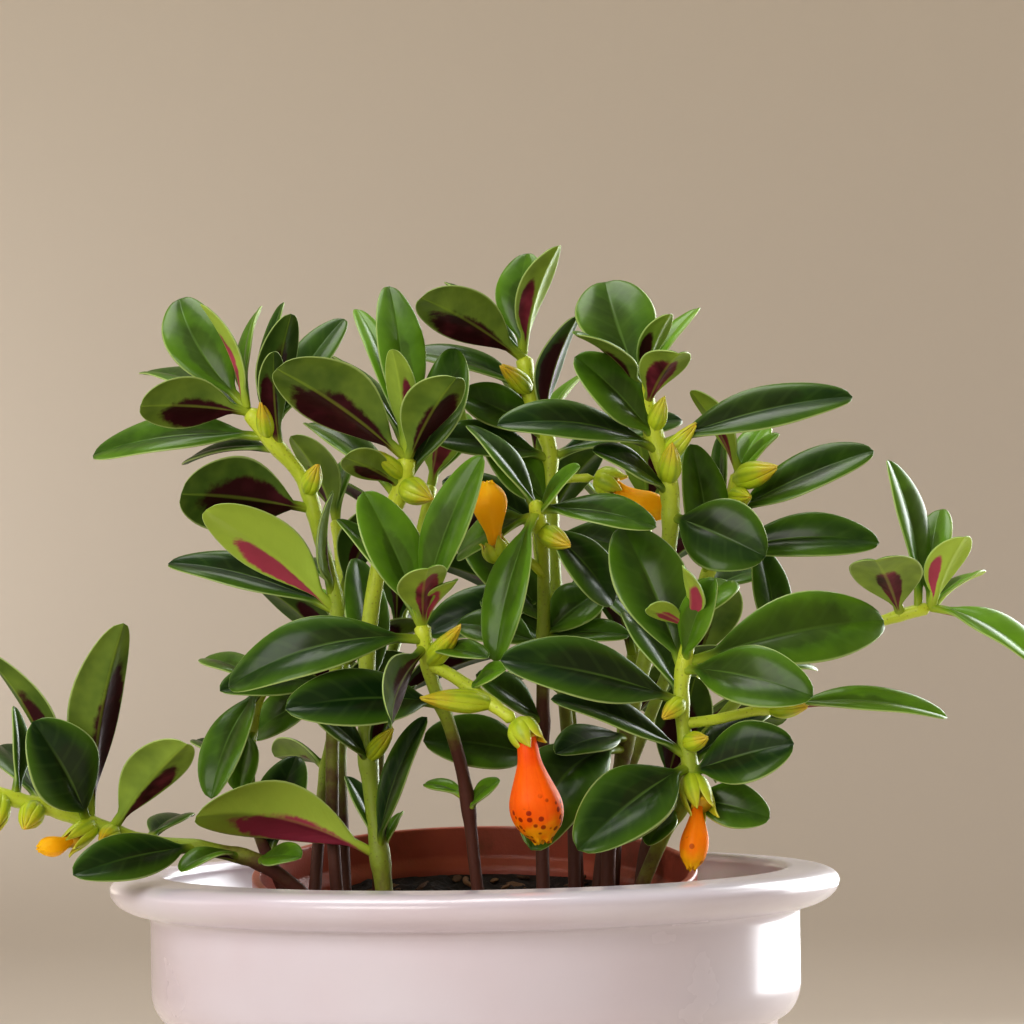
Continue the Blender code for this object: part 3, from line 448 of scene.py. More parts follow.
@dataclass(frozen=True)
class CorollaFinish:
    """Satin orange pouches, yellow at the mouth, with dark red spots round it."""

    orange: Colour = srgb(255, 112, 0)
    golden: Colour = srgb(255, 188, 8)
    deep: Colour = srgb(236, 70, 0)
    lip: Colour = srgb(255, 190, 20)
    spots: Colour = srgb(140, 22, 6)
    relief: float = 0.12 * MM

    def make(self) -> bpy.types.Material:
        """Build the material."""
        shader = Shader("corolla", Subsurface_Weight=0.35, Subsurface_Radius=(1.0, 0.6, 0.1),
                        Subsurface_Scale=0.004, Specular_IOR_Level=0.25)
        along = shader.trait(Trait.ALONG)
        golden = shader.trait(Trait.BLUSH)
        cloud = shader.noise(300.0, 3.0)
        ribs = abs(shader.trait(Trait.ACROSS))
        deep = (cloud - 0.4) * 0.8 + ribs.below(0.0, 0.25) * 0.2 + along.below(0.1, 0.45) * 0.45
        colour = shader.blend(self.orange, self.deep, deep)
        colour = shader.blend(colour, self.golden, golden * 0.9)
        colour = shader.blend(colour, self.lip, (along + (cloud - 0.5) * 0.4).above(0.74, 1.0) * 0.9)
        near_mouth = (along + (shader.noise(240.0) - 0.5) * 0.5).above(0.6, 0.72)
        dots = shader.speckles(520.0).below(0.24, 0.36) * near_mouth * (1.0 - golden)
        colour = shader.blend(colour, self.spots, dots * 0.85)
        height = shader.noise(1500.0, 3.0) * 0.6 + ribs * 0.4
        return shader.dress(colour, 0.42 + cloud * 0.2, height, self.relief)


@dataclass(frozen=True)
class GlazeFinish:
    """Glossy off-white glaze with a faint rose tone, which lies a little uneven."""

    body: Colour = srgb(216, 211, 222)
    rose: Colour = srgb(212, 200, 210)
    thin: Colour = srgb(204, 190, 194)
    relief: float = 0.35 * MM

    def make(self) -> bpy.types.Material:
        """Build the material."""
        shader = Shader("white_glaze", IOR=1.52, Coat_Roughness=0.16, Coat_IOR=1.5)
        cloud = shader.noise(14.0, 3.0)
        colour = shader.blend(self.body, self.rose, cloud.above(0.35, 0.7))
        pits = shader.speckles(700.0).below(0.03, 0.09) * shader.noise(60.0).above(0.5, 0.62)
        colour = shader.blend(colour, self.thin, pits * 0.5)
        shader.paint("Coat Weight", 0.5 - pits * 0.4)
        return shader.dress(colour, 0.22 + shader.noise(45.0, 4.0) * 0.08,
                            shader.noise(26.0) + shader.noise(140.0) * 0.08, self.relief)


@dataclass(frozen=True)
class BiscuitFinish:
    """The unglazed ring that the outer pot stands on."""

    clay: Colour = srgb(205, 186, 166)
    dark: Colour = srgb(168, 146, 126)
    relief: float = 0.2 * MM

    def make(self) -> bpy.types.Material:
        """Build the material."""
        shader = Shader("biscuit_clay")
        grain = shader.noise(1400.0, 5.0, 0.7)
        colour = shader.blend(self.clay, self.dark, grain.above(0.4, 0.75))
        return shader.dress(colour, 0.75 + grain * 0.2, grain, self.relief)


@dataclass(frozen=True)
class PlasticFinish:
    """Thin red-brown moulded plastic, half glossy, dusty with soil where it has been handled."""

    brown: Colour = srgb(184, 94, 74)
    dark: Colour = srgb(156, 72, 56)
    dust: Colour = srgb(124, 84, 62)
    relief: float = 0.08 * MM

    def make(self) -> bpy.types.Material:
        """Build the material."""
        shader = Shader("brown_plastic", IOR=1.49)
        cloud = shader.noise(60.0, 4.0)
        dust = shader.noise(110.0, 5.0, 0.65).above(0.52, 0.75) * 0.55
        colour = shader.blend(self.brown, self.dark, cloud.above(0.35, 0.8) * 0.7)
        colour = shader.blend(colour, self.dust, dust)
        return shader.dress(colour, 0.32 + dust * 0.5, shader.noise(1800.0, 3.0, 0.6), self.relief)


@dataclass(frozen=True)
class SoilFinish:
    """Dark damp potting soil with paler fibres."""

    peat: Colour = srgb(48, 34, 26)
    damp: Colour = srgb(26, 18, 14)
    fibre: Colour = srgb(104, 78, 54)
    relief: float = 0.8 * MM

    def make(self) -> bpy.types.Material:
        """Build the material."""
        shader = Shader("potting_soil")
        grain = shader.noise(700.0, 6.0, 0.7)
        colour = shader.blend(self.damp, self.peat, grain.above(0.35, 0.65))
        bits = shader.speckles(420.0).below(0.12, 0.3) * shader.noise(200.0).above(0.55, 0.7)
        colour = shader.blend(colour, self.fibre, bits * 0.7)
        return shader.dress(colour, 0.72 + grain * 0.25, grain, self.relief)


@dataclass(frozen=True)
class BarkFinish:
    """Chips of bark and short dead twigs on the soil."""

    pale: Colour = srgb(150, 112, 76)
    dark: Colour = srgb(70, 44, 30)
    relief: float = 0.5 * MM

    def make(self) -> bpy.types.Material:
        """Build the material."""
        shader = Shader("bark")
        tone = shader.trait(Trait.SEED) * 0.7 + shader.noise(500.0, 5.0, 0.7) * 0.6 - 0.25
        colour = shader.blend(self.dark, self.pale, tone)
        height = shader.noise(1100.0, 5.0, 0.7)
        return shader.dress(colour, 0.7 + shader.noise(300.0) * 0.25, height, self.relief)


@dataclass(frozen=True)
class BackdropFinish:
    """The plain pale floor and wall of the studio; the floor is painted a little darker than the wall, as
    painted shade.
    """

    wall: Colour = srgb(211, 202, 187)
    floor: Colour = srgb(207, 198, 186)

    def make(self) -> bpy.types.Material:
        """Build the material."""
        shader = Shader("backdrop", Roughness=0.9)
        # painted shade: darker towards the floor, where the lamps light it most
        shader.paint("Base Color", shader.blend(self.floor, self.wall, shader.height().above(0.0, 0.9)))
        return shader.material


# ---------------------------------------------------------------- meshes

def as_array(point: Sequence[float]) -> np.ndarray:
    """A point or a direction as an array."""
    return np.array(tuple(point))


def placed(name: str, data: bpy.types.ID) -> bpy.types.Object:
    """A new object of the scene that shows a mesh, a lamp or a camera."""
    item = bpy.data.objects.new(name, data)
    bpy.context.scene.collection.objects.link(item)
    return item


def face_outwards(mesh: bpy.types.Mesh, merge: bool = False) -> None:
    """Turn every face of a mesh outwards.

    Args:
        mesh: The mesh.
        merge: Whether points that lie on each other are joined first.
    """
    edit = bmesh.new()
    edit.from_mesh(mesh)
    if merge:
        bmesh.ops.remove_doubles(edit, verts=edit.verts, dist=MERGE)
    bmesh.ops.recalc_face_normals(edit, faces=edit.faces)
    edit.to_mesh(mesh)
    edit.free()


class Piece:
    """One finished piece: lofted surfaces with their finishes, gathered into one mesh."""

    def __init__(self, name: str, finishes: Sequence[bpy.types.Material]) -> None:
        """Start an empty piece.

        Args:
            name: The piece's name.
            finishes: Its materials; surfaces name theirs by its number here.
        """
        self.name = name
        self.finishes = list(finishes)
        self.points: list[np.ndarray] = []
        self.faces: list[np.ndarray] = []
        self.finish_of: list[np.ndarray] = []
        self.traits: dict[Trait, list[np.ndarray]] = {trait: [] for trait in Trait}
        self.count = 0

    def loft(self, rings: np.ndarray, finish: int, traits: dict[Trait, object]) -> None:
        """Add a closed skin through rings of points, with a fan over each end.

        Args:
            rings: Points in millimetres, ring by ring: shape (rings, points in a ring, 3).
            finish: Number of the material.
            traits: Numbers of the points, each one for all or shaped as the rings are.
        """
        long, wide, _ = rings.shape
        ends = np.stack([rings[0].mean(0), rings[-1].mean(0)])
        self.points.append(np.concatenate([rings.reshape(-1, 3), ends]))
        row = np.arange(wide)
        first = self.count + (np.arange(long - 1) * wide)[:, None]
        near, far = first + row, first + (row + 1) % wide
        quads = np.stack([near, far, far + wide, near + wide], -1).reshape(-1, 4)
        start, end = self.count + long * wide, self.count + long * wide + 1
        last = self.count + (long - 1) * wide
        fan = [np.stack([np.full(wide, start), self.count + (row + 1) % wide, self.count + row], -1),
               np.stack([np.full(wide, end), last + row, last + (row + 1) % wide], -1)]
        for faces in (quads, *fan):
            self.faces.append(faces)
            self.finish_of.append(np.full(len(faces), finish))
        for trait in Trait:
            spread = np.broadcast_to(np.asarray(traits.get(trait, 0.0), float), (long, wide))
            tips = [spread[0].mean(), spread[-1].mean()]
            self.traits[trait].append(np.concatenate([spread.reshape(-1), tips]))
        self.count += long * wide + 2

    def make(self) -> bpy.types.Object:
        """Build the object.

        Returns:
            The object, linked to the scene.
        """
        mesh = bpy.data.meshes.new(self.name)
        points = np.concatenate(self.points) * MM
        faces = [tuple(face) for block in self.faces for face in block.tolist()]
        mesh.from_pydata(points.tolist(), [], faces)
        for finish in self.finishes:
            mesh.materials.append(finish)
        mesh.polygons.foreach_set("material_index", np.concatenate(self.finish_of).astype(np.int32))
        for trait, blocks in self.traits.items():
            layer = mesh.attributes.new(trait.value, "FLOAT", "POINT")
            layer.data.foreach_set("value", np.concatenate(blocks).astype(np.float32))
        mesh.shade_smooth()
        face_outwards(mesh)
        return placed(self.name, mesh)


def ring_frames(line: np.ndarray) -> tuple[np.ndarray, np.ndarray]:
    """Two directions across a line at each of its points, turned as little as can be.

    Args:
        line: Points, shape (n, 3).

    Returns:
        Both directions, each of shape (n, 3).
    """
    ways = np.gradient(line, axis=0)
    ways /= np.linalg.norm(ways, axis=1)[:, None]
    side = np.cross(ways[0], ODD_WAY)
    sides = []
    for way in ways:
        side = side - way * side.dot(way)
        side = side / np.linalg.norm(side)
        sides.append(side)
    first = np.array(sides)
    return first, np.cross(ways, first)


def round_rings(line: np.ndarray, radii: np.ndarray, sides: int) -> np.ndarray:
    """Circles round a line.

    Args:
        line: Points, shape (n, 3).
        radii: Radius at each point.
        sides: Points in each circle.

    Returns:
        The rings.
    """
    first, second = ring_frames(line)
    turn = np.arange(sides) * math.tau / sides
    out = first[:, None] * np.cos(turn)[:, None] + second[:, None] * np.sin(turn)[:, None]
    return line[:, None] + out * radii[:, None, None]


def smooth_path(knots: Sequence[Vector], step: float) -> list[Vector]:
    """Points about a step apart on a smooth curve through the knots (Catmull-Rom).

    Args:
        knots: The curve's own points.
        step: Distance between points in millimetres.

    Returns:
        The points.
    """
    ends = [knots[0] * 2 - knots[1], *knots, knots[-1] * 2 - knots[-2]]
    points = [knots[0]]
    for before, start, end, after in zip(ends, ends[1:], ends[2:], ends[3:]):
        pieces = max(1, round((end - start).length / step))
        for piece in range(1, pieces + 1):
            t = piece / pieces
            points.append(0.5 * (start * 2 + (end - before) * t
                                 + (before * 2 - start * 5 + end * 4 - after) * t ** 2
                                 + (start * 3 - before - end * 3 + after) * t ** 3))
    return points


def eased(shape: Outline, shares: np.ndarray) -> np.ndarray:
    """Smooth values between the (share, value) points of a shape.

    Args:
        shape: The points.
        shares: Where values are wanted.

    Returns:
        The values.
    """
    knots = [Vector((share, value, 0.0)) for share, value in shape]
    fine = smooth_path(knots, 0.02)
    return np.interp(shares, [p.x for p in fine], [p.y for p in fine])


def rounded(corners: Sequence[tuple[float, float, float]], steps: int = 6) -> Profile:
    """A profile whose corners are rounded.

    Args:
        corners: (radius, height, rounding) of each corner; the ends' roundings are not used.
        steps: Pieces in each rounding.

    Returns:
        (radius, height) points.
    """
    points = [corners[0][:2]]
    for before, corner, after in zip(corners, corners[1:], corners[2:]):
        middle = np.array(corner[:2])
        back, ahead = np.array(before[:2]) - middle, np.array(after[:2]) - middle
        reach = min(corner[2], np.linalg.norm(back) * 0.49, np.linalg.norm(ahead) * 0.49)
        if reach <= 0:
            points.append(tuple(middle))
            continue
        start = middle + back / np.linalg.norm(back) * reach
        end = middle + ahead / np.linalg.norm(ahead) * reach
        for t in np.linspace(0, 1, steps + 1):
            points.append(tuple(start * (1 - t) ** 2 + middle * 2 * t * (1 - t) + end * t ** 2))
    return points + [corners[-1][:2]]


def arc(centre: tuple[float, float], reach: tuple[float, float], start: float, end: float,
        steps: int) -> Profile:
    """Points on a quarter or less of an ellipse.

    Args:
        centre: Its middle.
        reach: Its half widths along radius and height.
        start: First angle in degrees, from the radius axis.
        end: Last angle in degrees.
        steps: Pieces.

    Returns:
        The points, both ends among them.
    """
    turns = [math.radians(start + (end - start) * step / steps) for step in range(steps + 1)]
    return [(centre[0] + reach[0] * math.cos(a), centre[1] + reach[1] * math.sin(a)) for a in turns]


def turned(name: str, profile: Profile, sides: int, finish: bpy.types.Material) -> bpy.types.Object:
    """A body of revolution about Z.

    Args:
        name: The object's name.
        profile: (radius, height) points in millimetres, from the axis to the axis.
        sides: Steps round the axis.
        finish: Its material.

    Returns:
        The object.
    """
    mesh = bpy.data.meshes.new(name)
    mesh.from_pydata([(radius * MM, 0.0, height * MM) for radius, height in profile],
                     [(i, i + 1) for i in range(len(profile) - 1)], [])
    item = placed(name, mesh)
    screw = item.modifiers.new("Turn", "SCREW")
    screw.steps = sides
    screw.render_steps = sides
    screw.use_merge_vertices = True
    screw.merge_threshold = MERGE
    item.data = applied(item)
    face_outwards(item.data, merge=True)
    item.data.materials.append(finish)
    item.data.shade_smooth()
    return item


def applied(item: bpy.types.Object) -> bpy.types.Mesh:
    """The mesh of an object with its modifiers applied; the modifiers are taken off.

    Args:
        item: The object.

    Returns:
        The mesh.
    """
    bpy.context.view_layer.update()
    mesh = bpy.data.meshes.new_from_object(item.evaluated_get(bpy.context.evaluated_depsgraph_get()))
    item.modifiers.clear()
    return mesh


def seat(item: bpy.types.Object, node: str) -> bpy.types.Object:
    """Let a finished piece stand for a node of the frame.

    Args:
        item: The piece.
        node: The node that it replaces.

    Returns:
        The piece.
    """
    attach(item, ROOT)
    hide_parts(node)
    LOG.info("%s stands for %s, %d faces", item.name, node, len(item.data.polygons))
    return item


# ---------------------------------------------------------------- the plant's own shapes

@dataclass(frozen=True)
class Leaf:
    """A leaf: where it leaves its stem, its tip, its width and how its upper side is turned.

    at is a share of the stem's length above the soil. face is the angle in degrees between the
    front and the upper side: 0 shows the upper side to the front, 90 stands edge-on with the upper
    side up, and 180 shows the underside. With no face the upper side looks the way the stem grows.
    """

    at: float
    tip: Point
    width: float
    face: float | None = None
    arch: float = 0.07
    cup: float = 0.25
    bend: float = 0.0         # sideways bow as a share of its length
    tone: float | None = None     # youth of its tissue, where it isn't drawn
    stain: tuple[float, float] | None = None      # side, 0 to 1, and size of its red patch, likewise


@dataclass(frozen=True)
class Bud:
    """A closed bud, or the calyx of a bloom where bloom names the corolla that it holds."""

    at: float
    tip: Point
    width: float
    bloom: str = ""


@dataclass(frozen=True)
class Twig:
    """A side stem that leaves its shoot at a share of its length."""

    at: float
    path: list[Point]
    radius: float = 1.1
    leaves: list[Leaf] = field(default_factory=list)
    buds: list[Bud] = field(default_factory=list)


@dataclass(frozen=True)
class Shoot:
    """A leafy stem, from its place on the soil (x, y) through the points of its path.

    old is the share of the stem, from the soil up, that has turned brown.
    """

    name: str
    root: tuple[float, float]
    path: list[Point]
    thick: tuple[float, float]
    leaves: list[Leaf]
    buds: list[Bud] = field(default_factory=list)
    twigs: list[Twig] = field(default_factory=list)
    old: float = 0.5


@dataclass(frozen=True)
class Corolla:
    """A pouch-shaped corolla, seated in the calyx of the same name."""

    name: str
    mouth: Point
    width: float
    golden: float = 1.0


@dataclass(frozen=True)
class BackShoot:
    """A leafy stem of the far side, whose leaves stand in crossed pairs up its path."""

    name: str
    root: tuple[float, float]
    path: list[Point]
    pairs: int
    length: float
    width: float
    first: float = 0.4        # share of the stem where the lowest pair stands
    turn: float = 35.0        # degrees round the stem to the lowest pair


SHOOTS = [
    Shoot("shoot_front_right", (32, -18), [
        (35, -21, -4), (41, -26, 10), (46.5, -30, 20), (45, -31, 34), (45, -32, 43), (46.5, -33, 51),
        (47, -33, 56),
    ], (1.6, 1.5), [
        Leaf(0.83, (33, -24, 75.5), 17, 20, tone=0.3),
        Leaf(0.86, (89.5, -16, 54.5), 16.5, 20, arch=0.1, tone=0.4),
        Leaf(0.84, (71.5, -50, 39), 14, 25, arch=0.1, tone=0.3),
        Leaf(0.74, (6.5, -48, 47.5), 15, 35),
        Leaf(0.55, (22, -52, 8), 16.5, 25, arch=0.1, tone=0.15),
        Leaf(0.53, (68, -40, 29), 14, 25),
        Leaf(0.86, (52, -41, 64), 9, 40),
        Leaf(0.97, (37.5, -45, 58), 5, 150),
        Leaf(0.97, (56, -18, 63.5), 11, 40),
        Leaf(0.58, (17, -37, 39), 11, 60),
        Leaf(0.55, (64, -22, 37), 10, 60),
        Leaf(0.45, (63, -34, 13), 11, 30),
        Leaf(0.5, (27.5, -38, 8.5), 12, 35),
        Leaf(0.74, (33.5, -17, 57), 12, 50),
        Leaf(0.4, (37, -44, 8), 7, 40),
        Leaf(0.97, (45, -48, 66), 7, 120, tone=0.85),
    ], [
        Bud(0.75, (40.5, -37, 34.5), 3.4),
        Bud(0.62, (50, -37, 30.5), 3.4),
        Bud(0.52, (49, -38, 14.5), 6.0, "bloom_low_right"),
    ], [
        Twig(0.68, [(52, -30, 34), (60, -26, 35.5), (66, -23, 36)], 1.2,
             [Leaf(1.0, (102.5, -20, 33.3), 11, 62, arch=0.08)],
             [Bud(0.9, (72, -28, 36.5), 3.6)]),
    ], old=0.45),
    Shoot("shoot_front_left", (1.5, -14), [
        (0.5, -16, 0), (-1.5, -20, 20), (-4.5, -26, 33), (-8, -31, 43), (-9.5, -34, 51), (-10, -35, 56),
    ], (1.3, 1.5), [
        Leaf(0.99, (-22, -36, 83.5), 13, 25, tone=0.5),
        Leaf(0.94, (-51, -38, 42.5), 14.5, 35, arch=0.16, tone=0.15),
        Leaf(0.72, (-38.5, -48, 38), 14, 30, arch=0.1, tone=0.0),
        Leaf(0.99, (3.5, -42, 90.5), 12, 40, tone=0.4),
        Leaf(0.99, (-8, -58, 68), 11, 155),
        Leaf(0.92, (-16, -61, 35.5), 12, 120),
        Leaf(0.97, (-28, -27, 78), 10, 60),
        Leaf(0.99, (-2.5, -50, 69), 9, 110),
        Leaf(0.9, (4, -46, 50), 7, 60),
        Leaf(0.36, (6, -22, 21.5), 6, 60),
        Leaf(0.4, (-10.5, -14, 20.5), 5.5, 60),
    ], [
        Bud(0.86, (-1.5, -44, 55), 3.6),
    ], [
        Twig(0.86, [(-4, -36, 44.5), (3, -41.5, 39.5), (9.5, -45.5, 34.7)], 1.4,
             [Leaf(0.5, (8, -50, 46), 6, 60)],
             [Bud(1.0, (13.3, -47.5, 29.7), 6.0, "bloom_front"), Bud(0.72, (-10.8, -49, 40), 4.2)]),
    ], old=0.9),
    Shoot("shoot_centre", (15, 0), [
        (15, -1, 10), (15.5, -5, 35), (16, -12, 58), (16, -20, 71), (15, -27, 78), (14.5, -31, 81),
    ], (1.5, 1.4), [
        Leaf(0.97, (5.5, -37, 47), 11, 35),
        Leaf(0.97, (40, -35, 75), 11, 50),
        Leaf(0.95, (0, -19, 98), 10, 60),
        Leaf(0.95, (-2.5, -18, 70), 11, 50),
        Leaf(0.93, (31, -18, 59), 12, 35),
        Leaf(0.62, (29, -8, 62), 13, 40),
        Leaf(0.34, (-10.5, -20, 30), 14, 35),
        Leaf(0.62, (34.5, -14, 52), 8, 50),
        Leaf(0.6, (-3, -4, 55), 13, 50),
        Leaf(0.93, (24, -38, 88), 8, 70),
        Leaf(0.42, (1, -10, 44), 10, 50),
    ], [
        Bud(0.9, (22, -30, 71.5), 4.0),
    ], [
        Twig(0.78, [(12, -21, 69), (7, -26, 68.5)], 1.0,
             buds=[Bud(1.0, (5, -26.5, 73), 5.5, "bloom_centre")]),
    ], old=0.75),
    Shoot("shoot_crown_right", (29, -3), [
        (30, -4, 10), (35, -5, 35), (41, -7, 58), (44, -8, 75), (43.5, -9, 86), (41, -9, 94.5),
        (38.5, -10, 104), (37.5, -10, 108),
    ], (1.6, 1.9), [
        Leaf(0.74, (64, -19, 68.5), 17, 12, tone=0.15),
        Leaf(0.86, (6.5, -26, 97.5), 13, 50, arch=0.1),
        Leaf(0.99, (31, 6, 130.5), 18, 12, bend=-0.04, tone=0.35),
        Leaf(0.87, (84.5, -6, 103.5), 13, 42, arch=0.06),
        Leaf(0.88, (23.5, -15, 112.5), 14, 35),
        Leaf(0.95, (45.5, -32, 112), 10.5, 150, cup=0.4, tone=0.5, stain=(0.5, 0.8)),
        Leaf(0.97, (51.5, 2, 124), 10, 65, tone=0.7),
        Leaf(0.98, (23.5, -23, 116.5), 11, 100),
        Leaf(0.78, (27, -20, 92), 10, 60),
        Leaf(0.3, (12.3, -38, 7.3), 17, 20, arch=0.1, bend=0.1),
        Leaf(0.32, (18, -20, 27), 10, 50),
        Leaf(0.99, (44, -24, 121), 7, 140),
    ], [
        Bud(0.9, (43, -14, 104), 3.4),
        Bud(0.8, (44.5, -15, 94), 4.2),
        Bud(0.84, (50, -12, 98), 3.4),
    ]),
    Shoot("shoot_upper_left", (-30, -2), [
        (-31, -2, 12), (-30.5, -3, 36), (-29, -5, 57), (-33, -7, 76), (-36, -8, 87), (-43, -10, 96),
        (-48, -11, 103),
    ], (1.4, 1.6), [
        Leaf(0.99, (-70, -24, 103), 13, 150, tone=0.35, stain=(0.1, 0.8)),
        Leaf(0.93, (-83, 2, 93.5), 13.5, 50),
        Leaf(0.77, (-61.5, -24, 84), 18, 158, tone=0.2, stain=(0.3, 1.0)),
        Leaf(0.57, (-56, -26, 80.5), 15, 150, tone=0.95, stain=(0.0, 0.5)),
        Leaf(0.57, (-67, 6, 69.5), 12, 50),
        Leaf(1.0, (-63.5, 3, 128), 14, 20, bend=-0.09, tone=0.4),
        Leaf(1.0, (-57, -21, 125), 8, 110),
        Leaf(0.92, (-37.5, -22, 122.5), 10, 145),
        Leaf(1.0, (-45.5, 6, 126), 9, 65),
        Leaf(0.97, (-73.5, 20, 112.5), 11, 60),
        Leaf(0.93, (-40, -3, 126.5), 8, 60),
        Leaf(0.6, (-29, -17, 84), 9, 100),
        Leaf(0.9, (-63.5, 10, 91.5), 9, 70),
        Leaf(0.9, (-41, -28, 114), 6.5, 160),
        Leaf(0.43, (-54, -21, 41.5), 11, 50),
        Leaf(0.5, (-41, 6, 53), 7, 70),
        Leaf(0.93, (-27, 3, 123), 10, 30, tone=0.25),
        Leaf(0.42, (-49, 2, 31), 11, 40),
    ], [
        Bud(0.93, (-44.5, -17, 104), 3.2),
        Bud(0.8, (-32.5, -13, 90.5), 3.6),
    ]),
    Shoot("shoot_crown_left", (-19, -8), [
        (-20, -8, 0), (-22, -8, 18), (-23, -9, 32), (-22, -10, 55), (-18, -13, 75), (-14, -16, 86),
        (-13, -18, 92),
    ], (2.0, 1.7), [
        Leaf(0.99, (-40, -34, 110), 17, 150, cup=0.4, tone=0.32, stain=(0.0, 0.95)),
        Leaf(1.0, (-17, 2, 130), 11, 20, tone=0.45),
        Leaf(0.98, (-2, -34, 107.5), 13, 145, cup=0.4, tone=0.34, stain=(1.0, 0.8)),
        Leaf(0.93, (-2.5, -6, 115.5), 12, 30, bend=0.12),
        Leaf(1.0, (-24.5, 8, 125.5), 9, 40),
        Leaf(1.0, (-15.5, -30, 114), 7, 160),
        Leaf(1.0, (-30.5, 12, 115), 9, 70),
        Leaf(0.93, (-26, -30, 91), 8, 155),
        Leaf(0.9, (-36, 6, 100), 12, 60),
        Leaf(0.13, (-59, -27, 15), 17, 145, arch=0.14, tone=0.95, stain=(0.0, 0.75)),
        Leaf(0.13, (-28, 0, 22), 9, 60),
        Leaf(0.14, (-9.5, -17, 34), 10, 55),
        Leaf(0.12, (-15.5, -2, 14), 8, 70),
        Leaf(0.33, (-36, -20, 38), 10, 60),
        Leaf(0.33, (-12, -22, 42), 9, 120),
        Leaf(0.45, (-22.5, 2, 70), 11, 30),
    ], [
        Bud(0.95, (-21.5, -23, 93), 3.4),
        Bud(0.93, (-7.5, -21, 82), 5.0),
        Bud(0.34, (-17, -18, 33), 3.2),
    ], old=0.36),
    Shoot("shoot_crown", (22, 8), [
        (22, 8, 10), (21, 8, 30), (19.5, 8, 51), (18.5, 8, 70), (18, 8, 84), (18, 8, 94), (14.5, 8, 103),
        (12.5, 8, 115),
    ], (1.4, 1.6), [
        Leaf(0.99, (-9.5, -14, 126), 14, 150, tone=0.38, stain=(0.0, 0.8)),
        Leaf(1.0, (13.5, 16, 138), 12, 25, tone=0.4),
        Leaf(1.0, (20.5, -6, 137.5), 11, 125),
        Leaf(0.86, (24.5, -4, 122.5), 11, 120),
        Leaf(0.93, (-13.5, 16, 116), 12, 60),
        Leaf(0.98, (-5, 20, 132), 9, 70),
        Leaf(0.8, (-8, 0, 96), 12, 45),
        Leaf(0.8, (48, 16, 100), 12, 50),
        Leaf(0.66, (36, -1, 70), 11, 40),
        Leaf(0.66, (-6, 10, 87), 12, 45),
        Leaf(0.84, (-2, 12, 106), 13, 40),
        Leaf(0.7, (4, 2, 96), 12, 30),
        Leaf(0.48, (-2, 4, 75), 13, 30),
        Leaf(0.45, (2, 2, 60), 11, 45),
        Leaf(0.55, (-10, 4, 53), 14, 40),
    ], [
        Bud(0.93, (7.5, -1, 112), 3.6),
    ], [
        Twig(0.76, [(23, 7, 87), (28, 5, 87)], 1.0,
             buds=[Bud(1.0, (34, 4, 85), 6.0, "bloom_behind")]),
    ]),
    Shoot("shoot_right", (27, 13), [
        (30, 12, 10), (40, 12, 35), (50, 12, 58), (56, 10, 74), (59, 8, 84), (60, 7, 88),
    ], (1.4, 1.4), [
        Leaf(0.8, (90.5, 2, 71.5), 13, 40, arch=0.1),
        Leaf(0.89, (90, 6, 92), 13, 45, arch=0.05),
        Leaf(1.0, (49.5, 4, 106), 9, 120),
        Leaf(0.99, (67, 18, 98.5), 8, 40),
        Leaf(0.97, (69, 4, 94), 7, 70),
        Leaf(0.9, (57.5, 14, 98), 7, 60),
        Leaf(0.7, (68, 26, 66), 11, 60),
        Leaf(0.55, (30, 24, 62), 12, 50),
        Leaf(0.76, (49, 5, 94), 12, 30),
    ], [
        Bud(0.98, (68, -3, 88.5), 5.0),
        Bud(0.94, (62, -2, 82), 3.6),
    ]),
    Shoot("shoot_low_left", (-40, -4), [
        (-43, -4, 0), (-47, -6, 10), (-49, -8, 22), (-47.5, -8, 36), (-45, -8, 43),
    ], (1.3, 1.2), [
        Leaf(0.98, (-56, -23, 18.5), 12, 40, arch=0.1),
        Leaf(0.8, (-50.5, -13, 19.5), 9, 30),
        Leaf(0.25, (-39, -7, 26.5), 12, 25),
        Leaf(0.98, (-60, 12, 48), 9, 55),
        Leaf(0.6, (-62, 10, 30), 9, 60),
        Leaf(0.99, (-38, 6, 50), 9, 45),
    ], old=0.6),
    Shoot("shoot_trail_left", (-34, -16), [
        (-36.5, -17.5, -3), (-46, -20, 4.5), (-54, -21, 7), (-62, -22, 8.5), (-70, -23, 9.5),
        (-80, -24, 13), (-88.5, -25, 16.5), (-97, -26, 19), (-104, -27, 21),
    ], (1.6, 1.5), [
        Leaf(0.71, (-73.3, -34, 56.5), 13.5, 140, cup=0.45, tone=0.35, stain=(1.0, 0.8)),
        Leaf(0.72, (-92.5, -37, 36), 17, 30, arch=0.1, tone=0.05),
        Leaf(0.65, (-59.5, -43, 31), 12.5, 150, cup=0.4, tone=0.45, stain=(1.0, 0.5)),
        Leaf(0.79, (-103, -36, 51), 11, 125, arch=0.1, cup=0.4),
        Leaf(0.42, (-83.5, -45, 4), 12, 35, arch=0.05),
        Leaf(0.98, (-119, -14, 42), 12, 40),
        Leaf(0.98, (-124, -38, 24), 12, 60, arch=0.1),
        Leaf(0.85, (-104, -2, 30), 12, 50),
        Leaf(0.55, (-63, 0, 13.5), 9, 60),
        Leaf(0.3, (-62, -32, 3.5), 9, 75, arch=0.12),
        Leaf(0.25, (-36.5, -30, 6), 8, 60),
        Leaf(0.92, (-98.5, -20, 39), 6, 60),
    ], [
        Bud(0.96, (-101, -34, 12.5), 4.5),
        Bud(0.86, (-95, -33, 13), 4.5),
        Bud(0.7, (-86, -32, 9.5), 4.5, "bloom_trail"),
        Bud(0.64, (-79, -31, 10.5), 3.6),
        Bud(1.0, (-111, -31, 25), 4.0),
    ]),
    Shoot("shoot_trail_right", (36, 5), [
        (39, 8, 8), (48, 10, 24), (60, 10, 38), (74, 8, 47.5), (86, 4, 52.5), (91.5, 2, 54.5),
        (98.5, 0, 56.5), (101.5, 0, 57),
    ], (1.4, 1.2), [
